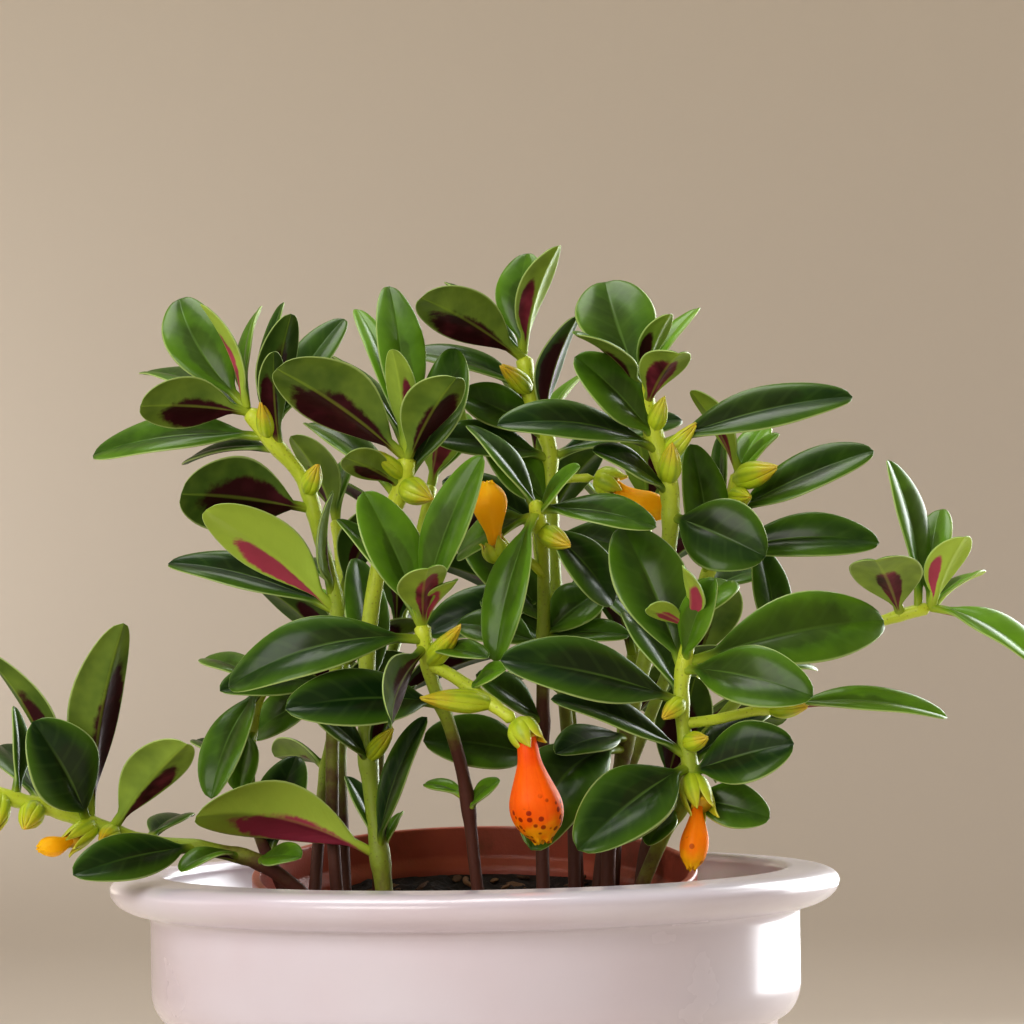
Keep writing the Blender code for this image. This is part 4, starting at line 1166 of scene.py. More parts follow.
        Leaf(0.97, (93, 6, 90), 13, 55),
        Leaf(0.93, (87.5, -22, 67.5), 16, 150, tone=0.5, stain=(0.5, 0.4)),
        Leaf(1.0, (124, -10, 43.5), 15, 62, arch=0.1, tone=0.7),
        Leaf(1.0, (107, -20, 71), 10, 150, tone=1.0, stain=(0.0, 0.3)),
        Leaf(1.0, (105.5, 9, 79), 10, 35),
        Leaf(1.0, (114.5, 11, 64.5), 9, 80),
        Leaf(0.62, (64.5, 14, 71.5), 10, 30),
        Leaf(0.62, (74, 28, 44), 12, 60),
        Leaf(0.8, (70, 28, 60), 11, 60),
        Leaf(0.4, (54, 28, 22), 12, 60),
    ]),
]

COROLLAS = [
    Corolla("bloom_front", (14.8, -48, 9.5), 11.0, 0.0),
    Corolla("bloom_centre", (4.2, -26.5, 85.5), 7.5),
    Corolla("bloom_behind", (43.5, 3, 78.5), 7.0),
    Corolla("bloom_low_right", (46, -41, 3), 6.0, 0.35),
    Corolla("bloom_trail", (-92, -34, 9), 4.4),
]

BACK_SHOOTS = [
    BackShoot("shoot_back_1", (-29, 13), [(-30, 20, 28), (-29, 30, 56), (-31, 37, 80)], 4, 28, 13),
    BackShoot("shoot_back_2", (-22, 22), [(-21, 30, 34), (-15, 42, 62), (-9, 48, 88)], 4, 31, 13, 0.42, 80),
    BackShoot("shoot_back_3", (23, 23), [(22, 32, 34), (16, 45, 64), (16, 50, 94)], 4, 31, 13, 0.42, 20),
    BackShoot("shoot_back_4", (31, 23), [(34, 33, 30), (38, 44, 54), (41, 48, 80)], 4, 30, 13, 0.42, 60),
    BackShoot("shoot_back_5", (-36, 12), [(-34, 24, 20), (-31, 39, 38), (-31, 48, 54)], 3, 22, 12, 0.45, 50),
    BackShoot("shoot_back_6", (37, 15), [(43, 30, 16), (48, 46, 30), (52, 56, 44)], 3, 27, 13, 0.42, 10),
]
BACK_SPREAD = 58.0            # degrees between a back leaf and its stem
BACK_TOP_SPREAD = 28.0        # the same for the highest pair
BACK_TOP_SHARE = 0.985        # share of the stem where the highest pair stands
BACK_TOP_LENGTH = 0.8         # of its leaves beside the others
BACK_ARCH = 0.1
BACK_STEM_THICK = (1.4, 1.2)
TWIG_TAPER = 0.9

# The solids' leaf tips were moved to keep the leaves clear of each other: how far, which way, and how
# much a way costs beside one in depth
SHIFT_REACHES = (0.0, 2.0, 4.0, 6.0, 8.0, 10.0, 12.0, 15.0, 18.0, 22.0, 26.0)
SHIFT_WAYS = (
    ((0.0, -1.0, 0.0), 1.0), ((0.0, 1.0, 0.0), 1.0),
    ((0.0, -0.8, 0.6), 1.8), ((0.0, 0.8, 0.6), 1.8), ((0.0, -0.8, -0.6), 1.8), ((0.0, 0.8, -0.6), 1.8),
    ((0.0, 0.0, 1.0), 2.6), ((0.0, 0.0, -1.0), 2.6),
    ((0.7, 0.7, 0.0), 2.2), ((-0.7, 0.7, 0.0), 2.2), ((0.7, -0.7, 0.0), 2.2), ((-0.7, -0.7, 0.0), 2.2),
)


# ---------------------------------------------------------------- stems

@dataclass(frozen=True)
class PotFrame:
    """Where the pots and the soil stand, as the solids have them."""

    pot_height: float = 120.0
    table_zero: float = 118.6         # the height that the plant's tables count from
    floor: float = 6.0
    gap: float = 0.3
    tilt: float = math.radians(8.4)   # of the nursery pot, to the front
    nursery_rim: float = 49.0
    nursery_base: float = 34.0
    nursery_below_lip: float = 0.4
    soil_below_rim: float = 10.0
    root_depth: float = 18.0

    def soil_height(self, y: float) -> float:
        """Height of the level soil at a distance behind the pot's middle."""
        below = self.nursery_below_lip + self.soil_below_rim * math.cos(self.tilt)
        slope = (y - self.soil_below_rim * math.sin(self.tilt)) * math.tan(self.tilt)
        return self.pot_height - below + slope

    def lifted(self, point: Sequence[float]) -> Vector:
        """A table's point in the frame of the pots."""
        return Vector(point) + UP * self.table_zero

    def stand(self) -> tuple[float, Matrix]:
        """Height of the nursery pot and the matrix, in metres, that stands it in the outer pot."""
        low = self.floor + self.gap + self.nursery_base * math.sin(self.tilt)
        height = (self.pot_height - self.nursery_below_lip - low) / math.cos(self.tilt)
        foot = Vector((0.0, height * math.sin(self.tilt), low)) * MM
        return height, Matrix.Translation(foot) @ Matrix.Rotation(self.tilt, 4, "X")


POTS = PotFrame()


@dataclass
class Stem:
    """A smooth fleshy stem, with a little swelling where each leaf or bud leaves it."""

    knots: list[Vector]           # its path, from the soil or from its shoot
    thick: tuple[float, float]    # its radius at both ends
    buried: Vector | None = None  # its end in the soil, where it stands in it
    step: float = 17.0            # of the points that leaves are placed by, as on the solids
    fine_step: float = 1.6
    sides: int = 14
    swelling: float = 0.22        # as a share of its radius
    swelling_reach: float = 2.2
    blunt: float = 0.02           # least share of its radius, squared, at its very tip
    mound: float = 1.5            # from the soil to the lowest point of its path

    def __post_init__(self) -> None:
        """Lay the points that leaves are placed by."""
        self.points = smooth_path(self.knots, self.step)
        self.lengths = [0.0]
        for start, end in zip(self.points, self.points[1:]):
            self.lengths.append(self.lengths[-1] + (end - start).length)

    def place(self, share: float) -> tuple[Vector, Vector]:
        """The stem's middle at a share of its length, and the way it grows there."""
        reach = max(0.0, min(1.0, share)) * self.lengths[-1]
        for number, far in enumerate(self.lengths[1:], 1):
            if reach <= far or number == len(self.lengths) - 1:
                start, end = self.points[number - 1], self.points[number]
                part = (reach - self.lengths[number - 1]) / (far - self.lengths[number - 1])
                return start.lerp(end, part), (end - start).normalized()
        return self.points[-1], UP

    def grow(self, piece: Piece, finish: int, joints: Iterable[float], youth: tuple[float, float]) -> None:
        """Add the stem's skin to a piece.

        Args:
            piece: The piece.
            finish: Number of its material.
            joints: Shares of the length where leaves and buds leave it.
            youth: Its youth at both ends.
        """
        fine = smooth_path(self.knots, self.fine_step)
        if self.buried is not None:
            fine = [self.buried] + fine
        line = np.array([tuple(point) for point in fine])
        run = np.concatenate([[0.0], np.cumsum(np.linalg.norm(np.diff(line, axis=0), axis=1))])
        if self.buried is not None:
            run -= run[1]
        share = np.clip(run / run[-1], 0.0, 1.0)
        radii = self.thick[0] + (self.thick[1] - self.thick[0]) * share
        swell = np.zeros(len(run))
        for joint in joints:
            swell = np.maximum(swell, np.exp(-((run - joint * run[-1]) / self.swelling_reach) ** 2))
        radii = radii * (1.0 + self.swelling * swell)
        end = np.clip((run[-1] - run) / self.thick[1], 0.0, 1.0)
        radii = radii * np.sqrt(np.clip(1.0 - (1.0 - end) ** 2, self.blunt, 1.0))
        rings = round_rings(line, radii, self.sides)
        tone = youth[0] + (youth[1] - youth[0]) * share
        piece.loft(rings, finish, {Trait.ALONG: share[:, None], Trait.YOUTH: tone[:, None]})


def main_stem(shoot: Shoot) -> Stem:
    """The main stem of a shoot."""
    x, y = shoot.root
    surface = POTS.soil_height(y)
    knots = [Vector((x, y, surface + Stem.mound))] + [POTS.lifted(point) for point in shoot.path]
    return Stem(knots, shoot.thick, Vector((x, y, surface - POTS.root_depth)))


def side_stem(twig: Twig, parent: Stem) -> Stem:
    """A twig's stem, from its shoot's middle."""
    start, _ = parent.place(twig.at)
    knots = [start] + [POTS.lifted(point) for point in twig.path]
    return Stem(knots, (twig.radius, twig.radius * TWIG_TAPER))


# ---------------------------------------------------------------- leaves

@dataclass(frozen=True)
class LeafShape:
    """The form that every leaf shares: a stalk, then a fleshy folded blade with a groove and a rib."""

    stalk_width: float = 2.2
    stalk_share: float = 0.12
    blade_share: float = 0.16     # share of the length over which the stalk widens into the blade
    tip_width: float = 1.0
    flesh: float = 0.42           # half of the blade's thickness
    stalk_flesh: float = 0.9      # half of the stalk's thickness
    thin_tip: float = 0.45        # share of the flesh that is gone at the tip
    blunt_tip: float = 0.04       # share of the length over which the tip is rounded
    puff: float = 0.075           # rise of each half between rib and edge, as a share of half the width
    curl: float = 0.05            # turn-down of the edge
    wave: float = 0.045           # height of the edge's ripples, likewise
    ripples: float = 8.5          # their turn in radians from base to tip
    fold_round: float = 0.012     # how softly the fold turns at the rib
    fold_drop: float = 0.11       # takes off the height that this gives the rib
    groove: float = 0.2           # depth of the groove over the rib
    rib: float = 0.34             # how far the rib stands out below
    rib_reach: float = 0.75
    steepest: float = 0.6         # of the slopes across that its flesh follows
    full_length: float = 24.0     # leaves shorter than this are younger
    top_share: float = 0.9        # leaves above this share of their stem are younger
    oldest: float = 0.06          # the least youth
    luck_youth: float = 0.3       # the most that is drawn on top of it
    stations: int = 26
    sides: tuple[float, ...] = (1.0, 0.975, 0.93, 0.84, 0.7, 0.54, 0.38, 0.24, 0.12, 0.05)

    def half_width(self, share: np.ndarray, width: float) -> np.ndarray:
        """Half of a leaf's width at shares of its length."""
        stalk = self.stalk_width / 2
        along = np.clip((share - self.stalk_share) / (1 - self.stalk_share), 0.0, 1.0)
        blade = width / 2 * np.maximum(0.0, np.sin(math.pi * along ** 1.1)) ** (0.75 - 0.25 * along)
        least = stalk * (1 - along) + self.tip_width / 2 * along * (1 - along ** 6)
        return np.maximum(least, blade)

    def across(self) -> tuple[np.ndarray, np.ndarray]:
        """Places round the blade's section, and which face each one is on.

        Returns:
            -1 to 1 across the blade, and 1 on the upper face, -1 on the under face, 0 at the edges.
        """
        half = list(self.sides) + [0.0] + [-side for side in reversed(self.sides)]
        below = list(reversed(half[1:-1]))
        faces = [0.0] + [1.0] * (len(half) - 2) + [0.0] + [-1.0] * len(below)
        return np.array(half + below), np.array(faces)

    def rings(self, leaf: Leaf, base: Vector, tip: Vector, growing: Vector, seed: float) -> np.ndarray:
        """The blade's skin.

        Args:
            leaf: The leaf.
            base: Where it leaves its stem.
            tip: Its tip.
            growing: The way its stem grows there.
            seed: The leaf's own number, 0 to 1.

        Returns:
            Its rings of points.
        """
        length = (tip - base).length
        along = (tip - base).normalized()
        normal = upper_side(along, growing, leaf.face)
        side = along.cross(normal)
        share = (1 - np.cos(np.linspace(0.0, math.pi, self.stations))) / 2
        share = 0.6 * share + 0.4 * np.linspace(0.0, 1.0, self.stations)
        place, face = self.across()
        half = self.half_width(share, leaf.width)[:, None]
        out, size = np.abs(place)[None, :], share[:, None]
        blade = np.clip((size - self.stalk_share) / self.blade_share, 0.0, 1.0)
        x = place[None, :] * half
        bow = leaf.bend * length * 4 * size * (1 - size)
        fold = leaf.cup * half * (np.sqrt(out ** 2 + self.fold_round) - self.fold_drop)
        swell = self.puff * half * np.sin(math.pi * out) * blade - self.curl * half * out ** 5 * blade
        turns = np.sin(size * self.ripples + seed * 6.3 + place * 0.8)
        ripple = self.wave * half * out ** 2 * turns * blade
        rise = leaf.arch * length * 4 * size * (1 - size) + fold + swell + ripple
        flesh = self.stalk_flesh + (self.flesh - self.stalk_flesh) * blade
        rounding = np.sqrt(np.clip((1.0 - size) / self.blunt_tip, 0.02, 1.0))
        flesh = flesh * (1 - self.thin_tip * size ** 3) * rounding
        edge = np.sqrt(1 - np.minimum(out, 1.0) ** (2.2 + 5.5 * blade))
        middle = np.exp(-(x / self.rib_reach) ** 2) * blade * (1 - size ** 2)
        lift = np.where(face > 0, flesh * edge - self.groove * middle, 0.0)
        lift = np.where(face < 0, -flesh * edge - self.rib * middle, lift)
        run = np.gradient(x, axis=1)
        slope_across = np.gradient(fold + swell, axis=1) / np.where(np.abs(run) < TINY, np.inf, run)
        slope_across = np.clip(slope_across, -self.steepest, self.steepest) * (face != 0)
        slope_along = leaf.arch * 4 * (1 - 2 * size)
        tilt = 1 / np.sqrt(1 + slope_across ** 2 + slope_along ** 2)
        return (as_array(base) + as_array(along) * (length * size - lift * slope_along * tilt)[..., None]
                + as_array(side) * (x + bow - lift * slope_across * tilt)[..., None]
                + as_array(normal) * (rise + lift * tilt)[..., None])

    def grow(self, piece: Piece, finish: int, leaf: Leaf, base: Vector, tip: Vector, growing: Vector,
             luck: Random) -> None:
        """Add a leaf's skin to a piece.

        Args:
            piece: The piece.
            finish: Number of its material.
            leaf: The leaf.
            base: Where it leaves its stem.
            tip: Its tip.
            growing: The way its stem grows there.
            luck: Where the leaf's own numbers are drawn from.
        """
        seed = luck.random()
        rings = self.rings(leaf, base, tip, growing, seed)
        place, face = self.across()
        length = (tip - base).length
        share = np.clip((rings.mean(1) - as_array(base)) @ as_array(tip - base) / length ** 2, 0.0, 1.0)
        newest = max(0.0, leaf.at - self.top_share) * 3.0 + max(0.0, self.full_length - length) * 0.035
        youth = min(1.0, self.oldest + newest + self.luck_youth * luck.random() ** 2)
        youth = youth if leaf.tone is None else leaf.tone
        side, blush = leaf.stain or (seed, drawn_blush(luck))
        piece.loft(rings, finish, {
            Trait.ACROSS: place[None, :], Trait.ALONG: share[:, None],
            Trait.UNDER: (0.5 - face / 2)[None, :], Trait.SEED: side,
            Trait.BLUSH: blush, Trait.YOUTH: youth})


def drawn_blush(luck: Random) -> float:
    """Strength of a red or orange flush, from a quarter up to 1."""
    return 0.25 + 0.75 * luck.random()


def upper_side(along: Vector, growing: Vector, face: float | None) -> Vector:
    """The way a leaf's upper side looks, square to its length.

    Args:
        along: The way from its base to its tip.
        growing: The way its stem grows.
        face: Its turn in degrees, or None to look the way the stem grows.

    Returns:
        The direction.
    """
    if face is None:
        natural = growing - along * growing.dot(along)
        if natural.length < 2 * SHORT:
            natural = UP - along * UP.dot(along)
        return natural.normalized()
    front = (FRONT - along * FRONT.dot(along)).normalized()
    rising = along.cross(front)
    if rising.z < 0:
        rising.negate()
    angle = math.radians(face)
    return (front * math.cos(angle) + rising * math.sin(angle)).normalized()


class SolidTips:
    """The leaf tips of a solid: they tell how far each leaf was moved to keep it clear."""

    reach = 0.5               # farthest that a tip's two corners lie from its middle
    match = 0.03

    def __init__(self, node: str) -> None:
        """Read a node's corners.

        Args:
            node: The node's name.
        """
        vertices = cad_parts[node].data.vertices
        corners = np.zeros(len(vertices) * 3)
        vertices.foreach_get("co", corners)
        self.corners = corners.reshape(-1, 3) / MM
        moves = [(reach * cost, Vector(way) * reach) for reach in SHIFT_REACHES for way, cost in SHIFT_WAYS]
        moves.sort(key=lambda move: move[0])
        self.moves = [move for _, move in moves]

    def find(self, tip: Vector) -> Vector | None:
        """The tip as the solid has it.

        Args:
            tip: The tip as the table has it.

        Returns:
            The moved tip, or None where the solid shows none of the moves.
        """
        for move in self.moves:
            moved = tip + move
            place = as_array(moved)
            near = self.corners[np.linalg.norm(self.corners - place, axis=1) < self.reach]
            if len(near) < 2:
                continue
            mirrored = 2 * place - near
            gaps = np.linalg.norm(mirrored[:, None] - near[None], axis=2)
            if gaps.min() < self.match:
                return moved
        return None


# ---------------------------------------------------------------- buds, calyces and corollas

@dataclass(frozen=True)
class LobeShape:
    """Five pointed lobes round an axis: closed over a bud, or open round a corolla's neck."""

    bud_outline: Outline = ((0.0, 0.42), (0.3, 1.0), (0.62, 0.86), (0.86, 0.42), (1.0, 0.1))
    calyx_outline: Outline = ((0.0, 0.42), (0.22, 0.86), (0.55, 0.98), (0.85, 0.86), (1.0, 0.98))
    lobe_outline: Outline = ((0.0, 0.7), (0.3, 1.0), (0.6, 0.78), (0.85, 0.34), (1.0, 0.04))
    count: int = 5
    stations: int = 15
    ring_points: int = 14         # round a lobe's section
    twist: float = 0.02           # turn from one section to the next
    thick: float = 0.3            # half of a lobe's thickness
    keel: float = 0.16            # rise of a lobe's middle, as a share of half its width
    overlap: float = 1.25
    calyx_reach: float = 1.12     # how far the lobes of a calyx reach past its end, along the neck
    core_share: float = 0.8
    core_sides: int = 12

    def grow(self, piece: Piece, finish: int, bud: Bud, base: Vector, luck: Random) -> None:
        """Add a bud or a calyx to a piece.

        Args:
            piece: The piece.
            finish: Number of its material.
            bud: The bud.
            base: Where it leaves its stem.
            luck: Where its own numbers are drawn from.
        """
        tip = POTS.lifted(bud.tip)
        outline = self.calyx_outline if bud.bloom else self.bud_outline
        stretch = self.calyx_reach if bud.bloom else 1.0
        axis = as_array(tip - base) * stretch
        first, second = map(as_array, across_of(tip - base))
        seed, turn = luck.random(), luck.random() * math.tau
        blush = drawn_blush(luck)
        share = np.linspace(0.0, 1.0, self.stations)
        radius = eased(outline, share) * bud.width / 2
        for lobe in range(self.count):
            twist = turn + lobe * math.tau / self.count
            reach = share * (0.92 + 0.08 * luck.random())
            wide = eased(self.lobe_outline, share) * self.overlap * math.pi * bud.width / 2 / self.count
            rings = []
            for at, r, half in zip(reach, radius, wide):
                rings.append(self._ring(as_array(base) + axis * at, first, second, r, half, twist))
                twist += self.twist
            piece.loft(np.array(rings), finish, {
                Trait.ACROSS: np.cos(self._turns())[None, :], Trait.ALONG: share[:, None], Trait.SEED: seed,
                Trait.BLUSH: blush * 0.5 if bud.bloom else blush, Trait.YOUTH: 1.0})
        core = self.core_share * radius
        inner = 0.8 if bud.bloom else 0.97
        line = as_array(base) + axis * (share * inner / stretch)[:, None]
        piece.loft(round_rings(line, core, self.core_sides), finish, {
            Trait.ACROSS: 0.5, Trait.ALONG: share[:, None], Trait.SEED: seed, Trait.BLUSH: 1.0,
            Trait.YOUTH: 1.0})

    def _turns(self) -> np.ndarray:
        """Angles of the points round a lobe's section."""
        return np.arange(self.ring_points) * math.tau / self.ring_points

    def _ring(self, middle: np.ndarray, first: np.ndarray, second: np.ndarray, radius: float, half: float,
              twist: float) -> np.ndarray:
        """A section of one lobe, bent round the axis.

        Args:
            middle: The axis at this height.
            first: A direction across the axis.
            second: The other direction.
            radius: The lobe's distance from the axis.
            half: Half of its width.
            twist: Its angle round the axis.

        Returns:
            The section's points.
        """
        turns = self._turns()
        spread = np.cos(turns) * half / max(radius, half * 0.6)
        depth = radius + np.sin(turns) * self.thick + self.keel * half * (1 - np.cos(turns) ** 2)
        angle = twist + spread
        return (middle + first * (np.cos(angle) * depth)[:, None]
                + second * (np.sin(angle) * depth)[:, None])


def across_of(way: Vector) -> tuple[Vector, Vector]:
    """Two directions square to a way; the first one looks down and to the front."""
    way = way.normalized()
    low = (FRONT - UP) - way * (FRONT - UP).dot(way)
    if low.length < SHORT:
        low = RIGHT - way * way.x
    low.normalize()
    return low, way.cross(low)


@dataclass(frozen=True)
class CorollaShape:
    """A pouch: a slim neck, a belly that hangs to one side, a pinched mouth and five small lobes."""

    outline: Outline = ((0.0, 0.36), (0.12, 0.4), (0.26, 0.47), (0.42, 0.7), (0.6, 0.97), (0.74, 1.0),
                        (0.87, 0.8), (0.95, 0.48), (0.98, 0.34), (1.0, 0.3))
    throat: Outline = ((0.995, 0.2), (0.97, 0.16), (0.9, 0.2), (0.82, 0.2))
    sides: int = 40
    stations: int = 34
    petals: int = 5
    furrow: float = 0.035         # depth of the furrows between petals, as a share of the radius
    lobe: float = 0.1             # how far the lobes stand out, likewise
    lobe_start: float = 0.93      # share of the length where they begin
    lobe_reach: float = 0.02      # how far they reach ahead, as a share of the length
    belly: float = 0.16           # how far the pouch hangs, as a share of its width

    def grow(self, piece: Piece, finish: int, corolla: Corolla, neck: Vector, luck: Random) -> None:
        """Add the corolla to a piece.

        Args:
            piece: The piece.
            finish: Number of its material.
            corolla: The corolla.
            neck: Where it leaves its calyx.
            luck: Where its own numbers are drawn from.
        """
        mouth = POTS.lifted(corolla.mouth)
        axis = as_array(mouth - neck)
        low, side = map(as_array, across_of(mouth - neck))
        outer = np.linspace(0.0, 1.0, self.stations)
        inner = np.array([share for share, _ in self.throat])
        share = np.concatenate([outer, inner])
        radius = np.concatenate([eased(self.outline, outer), [wide for _, wide in self.throat]])
        radius = radius * corolla.width / 2
        turn = np.arange(self.sides) * math.tau / self.sides
        petals = np.cos(self.petals * turn + luck.random() * math.tau)
        at_mouth = np.clip((share - self.lobe_start) / (1.0 - self.lobe_start), 0.0, 1.0)
        at_mouth = at_mouth * (np.arange(len(share)) <= self.stations)
        ring = radius[:, None] * (1 + self.furrow * petals * np.sin(math.pi * share)[:, None]
                                  + self.lobe * np.maximum(petals, -0.4) * at_mouth[:, None])
        ahead = at_mouth[:, None] * petals * self.lobe_reach * np.linalg.norm(axis)
        hang = self.belly * corolla.width * np.sin(math.pi * np.clip(share, 0, 1)) ** 2
        middle = as_array(neck) + axis * share[:, None] + low * hang[:, None]
        unit = axis / np.linalg.norm(axis)
        points = (middle[:, None] + low * (ring * np.cos(turn))[..., None]
                  + side * (ring * np.sin(turn))[..., None] + unit * ahead[..., None])
        reach = np.concatenate([outer, np.full(len(inner), 0.99)])
        piece.loft(points, finish, {Trait.ACROSS: petals[None, :], Trait.ALONG: reach[:, None],
                                    Trait.SEED: luck.random(), Trait.BLUSH: corolla.golden})


# ---------------------------------------------------------------- shoots and blooms

@dataclass
class Plant:
    """The goldfish plant: its shoots with their leaves, buds and calyces, and its corollas."""

    leaf_shape: LeafShape = field(default_factory=LeafShape)
    lobe_shape: LobeShape = field(default_factory=LobeShape)
    corolla_shape: CorollaShape = field(default_factory=CorollaShape)
    neck_inset: float = 0.55  # share of a calyx's length that hides a corolla's neck
    ageing: float = 2.2       # youth that a stem loses at the soil, for each unit of its brown share
    twig_youth: tuple[float, float] = (0.8, 1.0)

    def build(self) -> None:
        """Grow every shoot and bloom."""
        leaf, stem, calyx = LeafFinish().make(), StemFinish().make(), CalyxFinish().make()
        petals = CorollaFinish().make()
        seats: dict[str, tuple[Bud, Stem]] = {}
        for shoot in self.all_shoots():
            piece = Piece(shoot.name.replace("shoot", "foliage"), [leaf, stem, calyx])
            self.grow_shoot(shoot, piece, seats)
            seat(piece.make(), shoot.name)
        for corolla in COROLLAS:
            bud, stem_of_bud = seats[corolla.name]
            piece = Piece(corolla.name.replace("bloom", "pouch"), [petals])
            start, end = stem_of_bud.place(bud.at)[0], POTS.lifted(bud.tip)
            neck = start.lerp(end, self.neck_inset)
            self.corolla_shape.grow(piece, 0, corolla, neck, Random(corolla.name))
            seat(piece.make(), corolla.name)

    def grow_shoot(self, shoot: Shoot, piece: Piece, seats: dict[str, tuple[Bud, Stem]]) -> None:
        """Add a whole shoot to a piece.

        Args:
            shoot: The shoot.
            piece: The piece.
            seats: Takes the calyx and the stem of each bloom.
        """
        tips = SolidTips(shoot.name)
        trunk = main_stem(shoot)
        bearers = [(trunk, shoot.leaves, shoot.buds, (1.0 - shoot.old * self.ageing, 1.0))]
        bearers += [(side_stem(twig, trunk), twig.leaves, twig.buds, self.twig_youth)
                    for twig in shoot.twigs]
        missed = 0
        for stem, leaves, buds, youth in bearers:
            joints = sorted({round(thing.at, 2) for thing in [*leaves, *buds]})
            stem.grow(piece, 1, joints, youth)
            for number, leaf in enumerate(leaves):
                base, growing = stem.place(leaf.at)
                tip = tips.find(POTS.lifted(leaf.tip))
                missed += tip is None
                tip = tip or POTS.lifted(leaf.tip)
                luck = Random(f"{shoot.name} leaf {number}")
                self.leaf_shape.grow(piece, 0, leaf, base, tip, growing, luck)
            for number, bud in enumerate(buds):
                luck = Random(f"{shoot.name} bud {number}")
                self.lobe_shape.grow(piece, 2, bud, stem.place(bud.at)[0], luck)
                if bud.bloom:
                    seats[bud.bloom] = (bud, stem)
        if missed:
            LOG.info("%d leaves of %s stand as in the table", missed, shoot.name)

    @staticmethod
    def all_shoots() -> list[Shoot]:
        """The shoots, those of the far side with their leaves listed."""
        shoots = list(SHOOTS)
        for back in BACK_SHOOTS:
            bare = Shoot(back.name, back.root, back.path, BACK_STEM_THICK, [])
            shoots.append(Shoot(back.name, back.root, back.path, BACK_STEM_THICK,
                                Plant.back_leaves(back, main_stem(bare))))
        return shoots

    @staticmethod
    def back_leaves(shoot: BackShoot, stem: Stem) -> list[Leaf]:
        """Crossed pairs of leaves up a stem, with a steeper pair at its top.

        Args:
            shoot: The shoot.
            stem: Its stem.

        Returns:
            The leaves.
        """
        leaves = []
        for pair in range(shoot.pairs):
            top = pair == shoot.pairs - 1
            share = shoot.first + (BACK_TOP_SHARE - shoot.first) * pair / (shoot.pairs - 1)
            base, growing = stem.place(share)
            spread = math.radians(BACK_TOP_SPREAD if top else BACK_SPREAD)
            length = shoot.length * (BACK_TOP_LENGTH if top else 1.0)
            across = growing.cross(RIGHT).normalized()
            around = Matrix.Rotation(math.radians(shoot.turn + 90 * pair), 3, growing)
            for side in (1, -1):
                out = around @ across * side
                tip = base + (growing * math.cos(spread) + out * math.sin(spread)) * length
                leaves.append(Leaf(share, tuple(tip - UP * POTS.table_zero), shoot.width, arch=BACK_ARCH))
        return leaves


# ---------------------------------------------------------------- pots and soil

@dataclass
class GlazedPot:
    """The outer pot: a thick rounded lip, a collar that steps in and a body that tapers to its foot."""

    node: str = "cachepot"
    slot: str = "white_glaze"
    lip: float = 80.0             # outer radius
    lip_top_width: float = 5.5
    lip_edge: float = 3.2         # its widest line lies this far below the top
    lip_drop: float = 5.4         # from there down to the collar
    mouth: float = 68.0           # inner radius of the lip
    collar: float = 71.2          # outer radius
    collar_depth: float = 25.0    # from the top to its step
    step_height: float = 7.8
    body: float = 66.0            # outer radius under the step
    bulge: float = 0.7            # of the body's taper
    base: float = 53.6            # outer radius at the foot
    wall: float = 5.0
    sides: int = 192
    foot_width: float = 5.0
    foot_round: float = 2.0
    foot_recess: float = 1.2
    bare_width: float = 7.5       # of the unglazed ring that it stands on
    bare_height: float = 0.4

    def build(self) -> None:
        """Turn and glaze the pot."""
        profile = self.inside() + self.outside() + self.underneath()
        pot = turned("outer_pot", profile, self.sides, GlazeFinish().make())
        pot.data.materials.append(BiscuitFinish().make())
        for face in pot.data.polygons:
            reach = math.hypot(face.center.x, face.center.y) / MM
            if face.center.z / MM < self.bare_height and reach > self.base - self.bare_width:
                face.material_index = 1
        seat(pot, self.node)

    def inside(self) -> Profile:
        """The inner side, from the middle of the floor to the flat of the lip."""
        top, step = POTS.pot_height, POTS.pot_height - self.collar_depth
        corners = [(0.0, POTS.floor, 0.0), (self.base - self.wall - 0.5, POTS.floor, 6.0),
                   (self.body - self.wall, step - 13.0, 8.0), (self.collar - self.wall, step + 4.0, 6.0),
                   (self.collar - self.wall, top - self.lip_edge - self.lip_drop, 3.0),
                   (self.mouth, top - 4.0, 2.0), (self.mouth, top, 2.6),
                   (self.lip - self.lip_top_width, top - 0.4, 1.0)]
        return rounded(corners)

    def outside(self) -> Profile:
        """The lip, the underside of the lip, the collar, its step and the body."""
        top = POTS.pot_height
        edge, step = top - self.lip_edge, top - self.collar_depth
        flat = self.lip - self.lip_top_width
        nose = arc((flat, edge), (self.lip_top_width, self.lip_edge - 0.4), 84, 0, 12)
        under = arc((self.collar, edge), (self.lip - self.collar, -self.lip_drop), 6, 84, 12)
        crease = edge - self.lip_drop
        neck = [(self.collar + 0.35, crease - 0.35), (self.collar + 0.1, crease - 1.0),
                (self.collar, crease - 2.0), (self.collar, step + 2.0), (self.collar, step + 0.7)]
        bend = arc((self.body, step), (self.collar - self.body, -self.step_height), 0, 84, 10)
        low = step - self.step_height
        flank = [(self.body + 0.1, low - 0.5)]
        for share in np.linspace(0.06, 0.985, 14):
            straight = self.body + (self.base - self.body) * share
            out = straight + self.bulge * math.sin(math.pi * share)
            flank.append((out, low * (1 - share) + 1.5 * share))
        return nose + under + neck + bend + flank

    def underneath(self) -> Profile:
        """The rounded foot and the slightly hollow base."""
        inner = self.base - self.foot_width - self.foot_round
        corners = [(self.base, 1.5, 0.0), (self.base - 0.6, 0.0, 0.8), (inner, 0.0, 0.6),
                   (inner - 1.0, self.foot_recess, 0.8), (0.0, self.foot_recess, 0.0)]
        return rounded(corners, 3)


